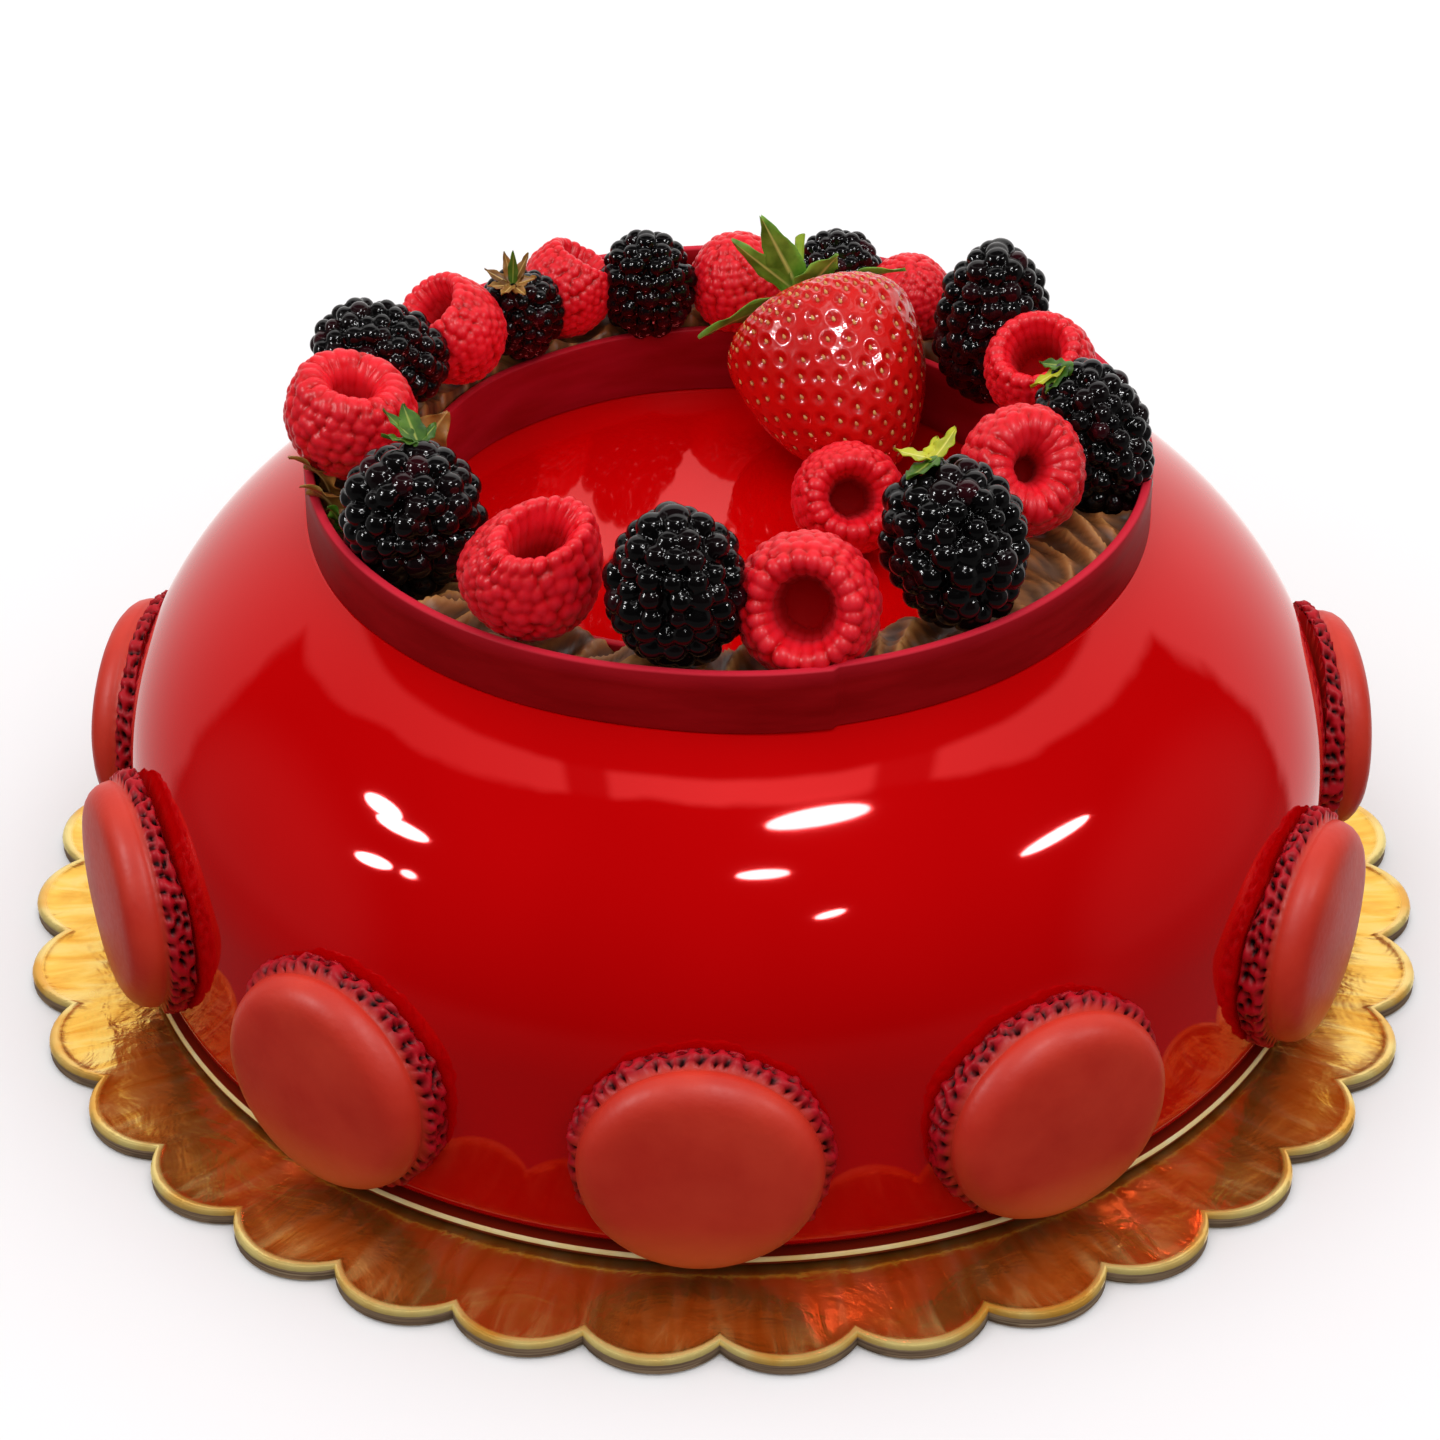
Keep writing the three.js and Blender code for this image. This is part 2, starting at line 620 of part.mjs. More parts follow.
function pipedCream(berries, bandCutters) {
  const here = new THREE.Matrix4();
  let leaves = DRIED_LEAVES.map(driedLeaf).reduce((all, leaf) => all.add(leaf));
  for (const berry of berries) leaves = leaves.subtract(neighbourCutter(berry, here));
  for (const band of bandCutters) leaves = leaves.subtract(solidFrom(band));
  const whole = solidFrom(creamRing(berries)).add(leaves);
  return named("piped_cream", geometryOf(largest(whole)), cream());
}

/** Each section has its inner and outer foot first, then its top from the inside out. */
function creamTriangles() {
  const size = CREAM.rows + 3;
  const loop = [0, 1, ...Array.from({ length: CREAM.rows + 1 }, (_, j) => CREAM.rows + 2 - j)];
  const triangles = [];
  for (let i = 0; i < CREAM.segments; i++) {
    const here = i * size;
    const next = ((i + 1) % CREAM.segments) * size;
    for (let k = 0; k < size; k++) {
      const [a, b] = [loop[k], loop[(k + 1) % size]];
      triangles.push(here + a, next + a, next + b, here + a, next + b, here + b);
    }
  }
  return triangles;
}

// ---- macaron shells -----------------------------------------------------------------------

/** Distance from the cake's axis to the plane that the side edges of a shell's back touch. */
const SHELL_BACK = Math.sqrt((CAKE.radius + GAP) ** 2 - SHELL.foot ** 2);

/** Half of a shell's section: a flat back, a foot, a step in to the dome and the domed top. */
function shellProfile() {
  const { foot, dome, footHigh, high } = SHELL;
  const [edge, step, lip, shoulder, crown] = [0.5, 0.3, 1.4, 2.6, 0.5];
  return [
    [0, 0],
    [foot * 0.5, 0],
    [foot - edge, 0],
    [foot, footHigh * 0.6],
    [dome - step, footHigh],
    [dome, footHigh + lip],
    [dome * 0.91, high - shoulder],
    [dome * 0.5, high - crown],
    [0, high],
  ];
}

/** A half shell, dome up: its back hollowed to the cake's wall, its foot in alternate ruffles. */
function shellGeometry(turnBy) {
  const shell = turned(shellProfile(), SHELL.segments).rotateZ(turnBy);
  const wall = CAKE.radius + GAP * 1.4;
  const spot = shell.attributes.position;
  for (let i = 0; i < spot.count; i++) {
    const [x, y, z] = [spot.getX(i), spot.getY(i), spot.getZ(i)];
    const across = Math.hypot(x, y);
    if (z < 0.01) {
      spot.setZ(i, Math.sqrt(wall ** 2 - x * x) - SHELL_BACK);
    } else if (across > (SHELL.foot + SHELL.dome) / 2) {
      const step = Math.round((Math.atan2(y, x) - turnBy) / (TURN / SHELL.segments));
      const scale = 1 + ((step % 2 === 0 ? 1 : -1) * SHELL.ruffle) / across;
      spot.setXY(i, x * scale, y * scale);
    }
  }
  return shell;
}

function macaronShells() {
  return SHELLS.map(({ around, up }, i) => {
    const holder = new THREE.Group();
    holder.rotation.z = rad(around);
    const mesh = named(`macaron_shell_${i + 1}`, shellGeometry(i * SHELL_TURN), macaron());
    mesh.rotation.x = Math.PI / 2;
    mesh.position.set(0, -SHELL_BACK, up);
    holder.add(mesh);
    return holder;
  });
}

// ---- the whole cake -----------------------------------------------------------------------

const bandCutters = [
  bandRing(OUTER_BAND, OUTER_FOOT, GAP),
  bandRing(INNER_BAND, INNER_FOOT, GAP),
];
const strawberry = {
  geometry: turned(strawberryProfile(), STRAWBERRY.segments),
  radius: STRAWBERRY.radius,
  reach: STRAWBERRY.tip,
  matrix: strawberryMatrix(),
};
const berries = placeBerries(bandCutters, strawberry);
const strawberryFlesh = named("strawberry", strawberry.geometry, finish(FRUIT.strawberry, 0.3));

const cake = new THREE.Group();
cake.position.set(CAKE_PLACE.x, CAKE_PLACE.y, BOARD.thick);
cake.add(cakeCard(), glazedCake());
cake.add(named("outer_band", bandRing(OUTER_BAND, OUTER_FOOT), chocolate()));
cake.add(named("inner_band", bandRing(INNER_BAND, INNER_FOOT), chocolate()));
cake.add(pipedCream(berries, bandCutters));
cake.add(...berries.map(({ mesh }) => mesh));
cake.add(placedAt(strawberryFlesh, strawberry.matrix));
cake.add(strawberryHull(strawberry.matrix, berries));
cake.add(...macaronShells());

const group = new THREE.Group();
group.add(cakeBoard(), cake);

export default group;
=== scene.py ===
# %% [markdown]
# # Dressing a mirror-glazed berry cake
#
# The solid model of the cake comes in as a fixed frame: a domed cake on a gold board, two thin
# chocolate bands, piped cream, nineteen berries, a strawberry and eleven macaron shells. In this
# notebook each of them gets its real surface. The frame says where a piece is and how big it is.
# The pieces below are worked out in millimetres round the cake's own axis, because a cake is
# turned round an axis, and they are moved and scaled once, when the mesh is made.

# %% Load the frame
import math

import bmesh
import bpy
import numpy as np
from mathutils import Matrix, Vector


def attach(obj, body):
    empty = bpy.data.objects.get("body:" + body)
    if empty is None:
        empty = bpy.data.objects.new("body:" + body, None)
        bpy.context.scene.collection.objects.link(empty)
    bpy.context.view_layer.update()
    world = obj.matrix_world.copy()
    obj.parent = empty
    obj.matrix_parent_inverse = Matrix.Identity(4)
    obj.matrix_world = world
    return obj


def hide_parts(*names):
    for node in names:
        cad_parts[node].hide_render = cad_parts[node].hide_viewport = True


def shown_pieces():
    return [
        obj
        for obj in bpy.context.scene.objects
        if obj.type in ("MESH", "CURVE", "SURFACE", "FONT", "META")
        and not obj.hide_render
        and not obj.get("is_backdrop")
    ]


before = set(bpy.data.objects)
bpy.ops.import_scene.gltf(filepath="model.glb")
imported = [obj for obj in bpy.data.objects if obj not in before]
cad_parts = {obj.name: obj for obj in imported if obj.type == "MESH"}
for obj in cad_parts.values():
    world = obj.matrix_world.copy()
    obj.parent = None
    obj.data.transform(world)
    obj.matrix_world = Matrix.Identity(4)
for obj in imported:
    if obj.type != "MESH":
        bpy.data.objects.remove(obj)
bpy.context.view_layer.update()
MM = 0.001
TAU = math.tau
luck = np.random.default_rng(7)  # one seeded source for everything that looks accidental
print("nodes in the frame:", len(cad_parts))

# %% [markdown]
# ## The camera
#
# A picture of a round board tells where it was taken from: the scallops near the lens look larger
# than the far ones, and the circle turns into an ellipse. Fitted to those, the camera stands 741 mm
# from a point above the middle of the board and looks down on it at 34 degrees. A long lens keeps
# the perspective mild, as in most food pictures. The camera could also be made to track an empty,
# but one line of trigonometry says the same and is easier to check.

# %% Camera
AIM = Vector((-0.6, 0.0, 40.1)) * MM
CAMERA_DISTANCE = 741 * MM
CAMERA_ELEVATION = math.radians(34.01)
LENS_MM = 108.86

camera_data = bpy.data.cameras.new("camera")
camera_data.lens = LENS_MM
camera_data.sensor_width = 36
camera_data.clip_start = 0.01
camera = bpy.data.objects.new("camera", camera_data)
camera.rotation_euler = (math.pi / 2 - CAMERA_ELEVATION, 0, 0)
backwards = Vector((0, -math.cos(CAMERA_ELEVATION), math.sin(CAMERA_ELEVATION)))
camera.location = AIM + backwards * CAMERA_DISTANCE
bpy.context.scene.collection.objects.link(camera)
bpy.context.scene.camera = camera
bpy.context.scene.view_settings.view_transform = "Standard"
print("camera stands at", [round(v, 3) for v in camera.location])

# %% [markdown]
# ## Small tools for materials
#
# A Principled shader has all the sockets that food needs. One helper makes it and sets the plain
# numbers on its own sockets. Others add a noise texture, turn a value into a colour ramp, or mix
# two colours. The world's shader needs the same sums, so those are in a class of their own. Wiring
# each node by hand for every material would be longer and hide what differs.


# %% Material helpers
def srgb(red, green, blue):
    """A colour read off a screen, 0 to 255, as the linear numbers that a shader wants."""
    def linear(value):
        share = value / 255
        return share / 12.92 if share <= 0.04045 else ((share + 0.055) / 1.055) ** 2.4
    return tuple(linear(value) for value in (red, green, blue))


class Wiring:
    """The nodes of one material or of the world."""

    def __init__(self, tree):
        self.tree = tree

    def node(self, kind, **settings):
        made = self.tree.nodes.new(kind)
        for key, value in settings.items():
            setattr(made, key, value)
        return made

    def feed(self, socket, value):
        """Joins another node's output to a socket, or sets the socket to a plain value."""
        if isinstance(value, bpy.types.NodeSocket):
            self.tree.links.new(value, socket)
        elif isinstance(value, tuple) and socket.type == "RGBA":
            socket.default_value = (*value, 1)
        else:
            socket.default_value = value

    def calc(self, operation, first, second=0.0, third=0.0):
        made = self.node("ShaderNodeMath", operation=operation)
        for socket, value in zip(made.inputs, (first, second, third)):
            self.feed(socket, value)
        return made.outputs[0]

    def span(self, value, low, high):
        """Goes from low to high as the value goes from 0 to 1."""
        return self.calc("MULTIPLY_ADD", value, high - low, low)


class Finish(Wiring):
    """A Principled material; sockets are named in lower case with _ for spaces."""

    def __init__(self, name, base, roughness, **sockets):
        self.material = bpy.data.materials.new(name)
        self.material.use_nodes = True
        super().__init__(self.material.node_tree)
        self.shader = self.tree.nodes["Principled BSDF"]
        self.set(base_color=(*base, 1), roughness=roughness, **sockets)

    def set(self, **sockets):
        for key, value in sockets.items():
            name = key.replace("_", " ").title().replace("Ior", "IOR")
            self.shader.inputs[name].default_value = value

    def wire(self, name, value):
        """Lets a value drive one of the shader's sockets."""
        self.feed(self.shader.inputs[name], value)

    def noise(self, scale, detail=3.0, stretch=(1, 1, 1), distortion=0.0, where=None):
        """Noise in the object's own space, or in another one, with so many features for each metre."""
        texture = self.node("ShaderNodeTexNoise")
        texture.inputs["Scale"].default_value = scale
        texture.inputs["Detail"].default_value = detail
        texture.inputs["Distortion"].default_value = distortion
        self.feed(texture.inputs["Vector"], self.space(stretch) if where is None else where)
        return texture.outputs["Fac"]

    def space(self, stretch=(1, 1, 1)):
        mapping = self.node("ShaderNodeMapping")
        mapping.inputs["Scale"].default_value = stretch
        self.feed(mapping.inputs["Vector"], self.node("ShaderNodeTexCoord").outputs["Object"])
        return mapping.outputs["Vector"]

    def xyz(self):
        """The coordinates in the object's own space, one by one."""
        made = self.node("ShaderNodeSeparateXYZ")
        self.feed(made.inputs[0], self.space())
        return made.outputs

    def squares(self, first, second):
        return self.calc("ADD", *[self.calc("MULTIPLY", side, side) for side in (first, second)])

    def mark(self, name):
        """A number stored on the mesh's points, such as how deep in a crease a point lies."""
        return self.node("ShaderNodeAttribute", attribute_name=name).outputs["Fac"]

    def ramp(self, value, *stops):
        """A colour ramp over (position, colour) stops."""
        made = self.node("ShaderNodeValToRGB")
        band = made.color_ramp
        while len(band.elements) < len(stops):
            band.elements.new(0.5)
        for element, (position, colour) in zip(band.elements, stops):
            element.position = position
            element.color = (*colour, 1)
        self.feed(made.inputs["Fac"], value)
        return made.outputs["Color"]

    def patchy(self, value, first, second):
        """Two colours in soft patches."""
        return self.ramp(value, (0.3, first), (0.7, second))

    def mix(self, share, first, second, kind="MIX"):
        made = self.node("ShaderNodeMix", data_type="RGBA", blend_type=kind)
        for name, value in zip(("Factor", "A", "B"), (share, first, second)):
            self.feed([s for s in made.inputs if s.name == name and s.enabled][0], value)
        return [s for s in made.outputs if s.enabled][0]

    def colour(self, value):
        self.wire("Base Color", value)

    def rough(self, value, low, high):
        """Roughness that goes from low to high with a value."""
        self.wire("Roughness", self.span(value, low, high))

    def bump(self, height, depth_mm, strength=1.0):
        made = self.node("ShaderNodeBump")
        made.inputs["Strength"].default_value = strength
        made.inputs["Distance"].default_value = depth_mm * MM
        self.feed(made.inputs["Height"], height)
        self.wire("Normal", made.outputs["Normal"])


print("a screen's middle grey is", round(srgb(128, 128, 128)[0], 3), "to the shader")

# %% [markdown]
# ## Small tools for meshes
#
# Most pieces here are rows of points joined by four-sided faces: a turned cake, a band bent into a
# ring, a leaf. One helper makes the faces of such a grid, a second turns a profile, and a third
# makes the Blender object, lets its faces point outwards and ties it to the frame. Subdivision
# surfaces could round a coarse cage too, but a formula puts each crease exactly where it belongs.

# %% Mesh helpers
CAKE_PLACE = np.array([0.7, 4.2, 3.0])  # the cake's axis and the board's top, in the frame


def grid_faces(rows, columns, ring=True, first=0):
    """Four-sided faces between rows of points; ring joins each row's end to its start."""
    i, j = np.meshgrid(np.arange(rows - 1), np.arange(columns if ring else columns - 1), indexing="ij")
    k = (j + 1) % columns
    corners = [i * columns + j, i * columns + k, (i + 1) * columns + k, (i + 1) * columns + j]
    return (np.stack(corners, -1).reshape(-1, 4) + first).tolist()


def end_faces(pole, last_ring, columns):
    """Triangles from one pole to the first ring, and from the next pole to the last ring."""
    faces = []
    for j in range(columns):
        k = (j + 1) % columns
        faces += [[pole, k, j], [pole + 1, last_ring + j, last_ring + k]]
    return faces


def turned(profile, segments):
    """A profile of (radius, height) from axis to axis, turned: its rings, then its two poles."""
    profile = np.array(profile, float)
    angles = np.arange(segments) * TAU / segments
    rings = profile[1:-1]
    x = rings[:, :1] * np.sin(angles)
    y = -rings[:, :1] * np.cos(angles)
    z = np.repeat(rings[:, 1:], segments, axis=1)
    points = np.stack([x, y, z], -1).reshape(-1, 3)
    poles = [[0, 0, profile[0, 1]], [0, 0, profile[-1, 1]]]
    faces = grid_faces(len(rings), segments) + end_faces(len(points), (len(rings) - 1) * segments, segments)
    return np.vstack([points, poles]), faces


def smooth_curve(points, count):
    """A soft curve through the points, with its own points evenly spaced."""
    p = np.array(points, float)
    p = np.vstack([2 * p[0] - p[1], p, 2 * p[-1] - p[-2]])
    t = np.linspace(0, 1, 24, endpoint=False)[:, None]
    run = []
    for a, b, c, d in zip(p[:-3], p[1:-2], p[2:-1], p[3:]):
        run.append(b + 0.5 * t * (c - a + t * (2 * a - 5 * b + 4 * c - d + t * (3 * (b - c) + d - a))))
    return evenly(np.vstack([*run, p[-2:-1]]), count)


def walk(run):
    """How far one has walked at each point of a run."""
    return np.concatenate([[0], np.cumsum(np.linalg.norm(np.diff(run, axis=0), axis=1))])


def evenly(run, count):
    """Points evenly spaced along a run of points."""
    run = np.array(run, float)
    walked = walk(run)
    at = np.linspace(0, walked[-1], count)
    return np.stack([np.interp(at, walked, run[:, k]) for k in range(run.shape[1])], -1)


def make_piece(name, points, faces, finishes, stands_for=(), which=None, marks=(), sharp=None):
    """A mesh from points in mm round the cake's axis, dressed and tied to the frame."""
    mesh = bpy.data.meshes.new(name)
    mesh.from_pydata(((np.asarray(points) + CAKE_PLACE) * MM).tolist(), [], faces)
    work = bmesh.new()
    work.from_mesh(mesh)
    bmesh.ops.recalc_face_normals(work, faces=work.faces)
    work.to_mesh(mesh)
    work.free()
    mesh.shade_smooth()
    if sharp:
        mesh.set_sharp_from_angle(angle=math.radians(sharp))
    for finish in finishes:
        mesh.materials.append(finish.material)
    if which is not None:
        mesh.polygons.foreach_set("material_index", np.asarray(which, np.int32))
    for mark, values in dict(marks).items():
        stored = mesh.attributes.new(mark, "FLOAT", "POINT")
        stored.data.foreach_set("value", np.asarray(values, np.float32))
    piece = bpy.data.objects.new(name, mesh)
    bpy.context.scene.collection.objects.link(piece)
    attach(piece, "root")
    if stands_for:
        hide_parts(*stands_for)
    return piece


def direction(around):
    """Unit vector from the cake's axis; 0 degrees is the front and 90 the right."""
    turn = np.radians(around)
    return np.stack([np.sin(turn), -np.cos(turn), np.zeros_like(turn)], -1)


print("the cake's axis stands at", (CAKE_PLACE[:2] * MM).tolist())

# %% [markdown]
# ## The floor and the room
#
# A mirror glaze shows the room it stands in, so the light matters as much as the colour. Following
# the reflections back to where they come from gives a simple studio: a bright backdrop that curves
# overhead and closes in from both sides, a dim space in front where the camera stands, and a few
# small lamps. The backdrop goes into the world shader, because it is far away. The lamps are area
# lights, which give crisp highlights with little noise.
#
# The floor is plain and pale. It is lit until it is nearly white, so that only a faint shadow
# shows round the board. Its bounce would wash the red out from below, so the cake doesn't see it:
# reflections and soft light get a dim table from the world instead. The soft light itself falls
# from above and fades towards the horizon, which is why the cake's upright wall is darker than its
# dome.

# %% Floor
FLOOR_SIZE = 6.0
FLOOR_GLOW = 0.02

bpy.ops.mesh.primitive_plane_add(size=FLOOR_SIZE, location=(0, 0, -0.1 * MM))
floor = bpy.context.object
floor.name = "floor"
floor_paint = Finish("floor_paint", (0.86, 0.86, 0.87), 0.9)
floor_paint.set(emission_color=(1, 1, 1, 1), emission_strength=FLOOR_GLOW)
floor_paint.colour(floor_paint.patchy(floor_paint.noise(3), (0.84, 0.84, 0.86), (0.86, 0.86, 0.89)))
floor.data.materials.append(floor_paint.material)
floor.visible_glossy = False
floor.visible_diffuse = False
floor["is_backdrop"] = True
print("floor", FLOOR_SIZE, "m wide")

# %% The world
BACKDROP = 1.2  # brightness of the backdrop behind the cake
LEFT_FALL, RIGHT_FALL = 0.9, 0.5  # how much of that is lost towards either side
CEILING = 0.03  # brightness of the dark gap overhead, between the backdrop and its front edge
# where that gap starts, how it slants, and how far back it goes
GAP_FROM, GAP_SLANT, GAP_BACK = 0.82, 0.5, 0.44
SIDE_GLOW = 0.15  # soft brightness far out on either side
# where the overhead front edge is broken: how far aside, and half the width
BREAKS = [(-0.34, 0.035), (0.42, 0.05)]
BREAK_GLOW = 0.12  # share of the brightness that is left in a break
FRONT = 0.02  # brightness of the dim space in front
TABLE_GLOW = 0.1  # brightness of the table, as the glaze sees it
EDGE_BACK = 0.48  # how far back the backdrop's side edges stand
EDGE_BEND = 0.45  # height at which those edges start to come forward
EDGE_SLOPE = 1.77
RAGGED = 0.16  # how unevenly those edges run
SOFT_LOW, SOFT_HIGH = 0.05, 1.75  # soft light from the horizon, and what is added straight overhead
SOFT_UNDER = 0.08  # soft light from below
PALE = 0.99  # what the camera sees beyond the floor

world = bpy.data.worlds.new("studio")
bpy.context.scene.world = world
world.use_nodes = True
studio = Wiring(world.node_tree)
calc = studio.calc
sky = studio.tree.nodes["Background"]
sky.inputs["Color"].default_value = (1.0, 0.985, 0.965, 1)


def step_up(value, low, high):
    """A soft step from 0 to 1 between two values."""
    made = studio.node("ShaderNodeMapRange", interpolation_type="SMOOTHSTEP")
    for name, given in (("Value", value), ("From Min", low), ("From Max", high)):
        studio.feed(made.inputs[name], given)
    return made.outputs["Result"]


def blend(share, low, high):
    """low where share is 0 and high where it is 1."""
    return calc("MULTIPLY_ADD", share, calc("SUBTRACT", high, low), low)


# A ray's way through the room: X is aside, Y is back and Z is up.
way = studio.node("ShaderNodeSeparateXYZ")
studio.feed(way.inputs[0], studio.node("ShaderNodeTexCoord").outputs["Generated"])
aside, back, height = (way.outputs[axis] for axis in "XYZ")
sideways, forward = calc("ABSOLUTE", aside), calc("MULTIPLY", back, -1.0)

rags = studio.node("ShaderNodeTexNoise")
rags.inputs["Scale"].default_value = 3.2
rags.inputs["Detail"].default_value = 4
uneven = calc("MULTIPLY_ADD", rags.outputs["Fac"], RAGGED, -RAGGED / 2)
edge = calc("MULTIPLY_ADD", calc("SUBTRACT", height, EDGE_BEND), -EDGE_SLOPE, EDGE_BACK)
past_edge = calc("ADD", calc("SUBTRACT", back, calc("MINIMUM", edge, EDGE_BACK)), uneven)
in_backdrop = step_up(past_edge, -0.02, 0.04)

# The backdrop grows dimmer to both sides, and its front edge overhead is broken twice.
fallen = calc("MULTIPLY_ADD", sideways, -(LEFT_FALL + RIGHT_FALL) / 2, BACKDROP)
behind = calc("MULTIPLY_ADD", aside, (LEFT_FALL - RIGHT_FALL) / 2, fallen)
beside = [step_up(calc("ABSOLUTE", calc("SUBTRACT", aside, at)), half, half + 0.03) for at, half in BREAKS]
near_edge = calc("MULTIPLY", step_up(height, 0.8, 0.83), step_up(forward, -0.1, -0.02))
broken = blend(near_edge, 1.0, blend(calc("MULTIPLY", *beside), BREAK_GLOW, 1.0))
slanted = calc("ADD", calc("MULTIPLY_ADD", back, GAP_SLANT, height), calc("MULTIPLY", uneven, 0.15))
overhead = step_up(slanted, GAP_FROM - 0.01, GAP_FROM + 0.01)
in_gap = calc("MULTIPLY", overhead, step_up(forward, -GAP_BACK - 0.08, -GAP_BACK))
backdrop = blend(in_gap, calc("MULTIPLY", behind, broken), CEILING)

# In front it is dim, with a soft glow at both sides and a table below.
sides = calc("MULTIPLY_ADD", step_up(sideways, 0.84, 0.97), SIDE_GLOW, FRONT)
front = blend(step_up(calc("MULTIPLY", height, -1.0), 0.1, 0.3), sides, TABLE_GLOW)
room = blend(in_backdrop, front, backdrop)

# The camera sees plain pale, reflections see the room, and everything else is lit softly.
above = calc("MULTIPLY_ADD", calc("MAXIMUM", height, 0.0), SOFT_HIGH, SOFT_LOW)
soft = blend(step_up(height, -0.05, 0.05), SOFT_UNDER, above)
path = studio.node("ShaderNodeLightPath")
lit = blend(path.outputs["Is Glossy Ray"], soft, room)
studio.feed(sky.inputs["Strength"], blend(path.outputs["Is Camera Ray"], lit, PALE))
print("backdrop", BACKDROP, "overhead", CEILING, "in front", FRONT)

# %% Lamps
LAMP_DISTANCE = 1.1
LAMP_GLOW = 42.0
LAMP_SPOT = Vector((0, -70, 66)) * MM  # the place on the glaze where their highlights gather
LAMPS = {  # azimuth and elevation of a lamp's two ends, and its thickness, all in degrees
    "left_upper": ((-86, 32.4), (-76.5, 35), 3.5),
    "left_lower": ((-80.5, 31.4), (-68.5, 35.4), 3.2),
    "left_patch": ((-77, 21), (-69.5, 24.6), 3.2),
    "left_dot": ((-67.6, 25), (-64.4, 26), 2.0),
    "front_long": ((13, 63), (48, 60), 4.2),
    "front_patch": ((2, 51), (16, 51), 2.6),
    "front_dot": ((18.5, 37), (25.5, 38), 1.9),
    "right_long": ((65, 33.8), (82, 30), 2.7),
}


def towards(azimuth, elevation):
    flat = direction(azimuth) * math.cos(math.radians(elevation))
    return Vector((flat[0], flat[1], math.sin(math.radians(elevation))))


for name, (left, right, thick) in LAMPS.items():
    ends = [towards(*left), towards(*right)]
    middle = (ends[0] + ends[1]).normalized()
    across = (ends[1] - ends[0]).normalized()
    lamp_data = bpy.data.lights.new(name, "AREA")
    lamp_data.shape = "ELLIPSE"
    lamp_data.size = (ends[1] - ends[0]).length * LAMP_DISTANCE
    lamp_data.size_y = math.radians(thick) * LAMP_DISTANCE
    lamp_data.energy = LAMP_GLOW * math.pi * lamp_data.size * lamp_data.size_y
    lamp = bpy.data.objects.new(name, lamp_data)
    axes = Matrix((across, middle.cross(across), middle)).transposed().to_4x4()
    lamp.matrix_world = Matrix.Translation(LAMP_SPOT + middle * LAMP_DISTANCE) @ axes
    lamp.visible_camera = False
    lamp.visible_diffuse = False  # the lamps only draw highlights; the soft light does the rest
    bpy.context.scene.collection.objects.link(lamp)
    print(name, "is", round(lamp_data.size * 100), "by", round(lamp_data.size_y * 100), "cm")

# %% [markdown]
# ## The gold board and card
#
# The cake stands on a round cake board: layers of grey card under gold foil that is pressed into
# scallops at the edge. Between them lies a thinner gold card that is hardly wider than the cake.
# The board's outline is a ring of equal arcs. A stack of slightly different copies of that outline
# gives the rounded foil edge and the raw card side below it. An extruded curve could make the same
# plate, but its edge would be dead straight, and foil is always rolled over a little.

# %% Gold foil and raw card
GOLD = srgb(252, 200, 90)
gold_foil = Finish("gold_foil", GOLD, 0.3, metallic=0.95)
creases = gold_foil.noise(90, detail=2)
rim = gold_foil.mark("rim")

# The foil was pressed outwards, so its streaks run along rays: noise over (turn, distance out).
x, y, _ = gold_foil.xyz()
rays = gold_foil.node("ShaderNodeCombineXYZ")
turn = gold_foil.calc("ARCTAN2", x, gold_foil.calc("MULTIPLY", y, -1.0))
gold_foil.feed(rays.inputs[0], gold_foil.calc("MULTIPLY", turn, 0.11))
gold_foil.feed(rays.inputs[1], gold_foil.calc("MULTIPLY", gold_foil.calc("SQRT", gold_foil.squares(x, y)), 0.22))
streaks = gold_foil.noise(300, detail=4, distortion=0.6, where=rays.outputs[0])
foil = gold_foil.ramp(streaks, (0.3, srgb(240, 170, 56)), (0.5, GOLD), (0.7, srgb(255, 222, 132)))

# Near the edge it is crumpled, and the light that the crumples catch from above is painted in as patches of pale
# gold: painted glints.
bright = gold_foil.calc("MINIMUM", gold_foil.calc("MULTIPLY_ADD", streaks, 5.0, -2.6), 1.0)
patches = gold_foil.calc("MULTIPLY", gold_foil.calc("MAXIMUM", bright, 0.0), gold_foil.mark("painted_light"))
foil = gold_foil.mix(patches, foil, srgb(255, 214, 120))
# The rolled rim is painted a paler gold: a painted highlight where the edge catches the light from above.
rim_gold_painted_light = gold_foil.ramp(creases, (0.35, srgb(240, 178, 74)), (0.6, srgb(255, 230, 146)))
gold_foil.colour(gold_foil.mix(rim, foil, rim_gold_painted_light))
gold_foil.rough(creases, 0.14, 0.32)
dull = gold_foil.calc("MAXIMUM", rim, gold_foil.calc("MULTIPLY", patches, 0.6))
gold_foil.wire("Metallic", gold_foil.span(dull, 0.94, 0.54))
dents = gold_foil.calc("MULTIPLY_ADD", streaks, 0.35, gold_foil.noise(70, detail=4, distortion=0.8))
gold_foil.bump(dents, 1.0, 0.7)

card_edge = Finish("gold_card", srgb(250, 220, 150), 0.35, metallic=0.2)
lit_edge = card_edge.patchy(card_edge.noise(200), srgb(250, 218, 140), srgb(255, 244, 190))
# The marked edge gets pale gold with a painted highlight; the rest of the card is painted dark reddish brown, a
# painted reflection and shade.
card_edge.colour(card_edge.mix(card_edge.mark("lip"), srgb(126, 30, 10), lit_edge))
card_edge.bump(card_edge.noise(300), 0.08)

card_side = Finish("card_side", srgb(150, 120, 95), 0.8)
layers = card_side.noise(60, detail=4, stretch=(1, 1, 60))
grey = card_side.ramp(layers, (0.3, srgb(104, 80, 64)), (0.55, srgb(160, 132, 104)), (0.8, srgb(205, 182, 150)))
card_side.colour(grey)
card_side.bump(layers, 0.1)
print("finishes for the board:", [finish.material.name for finish in (gold_foil, card_edge, card_side)])

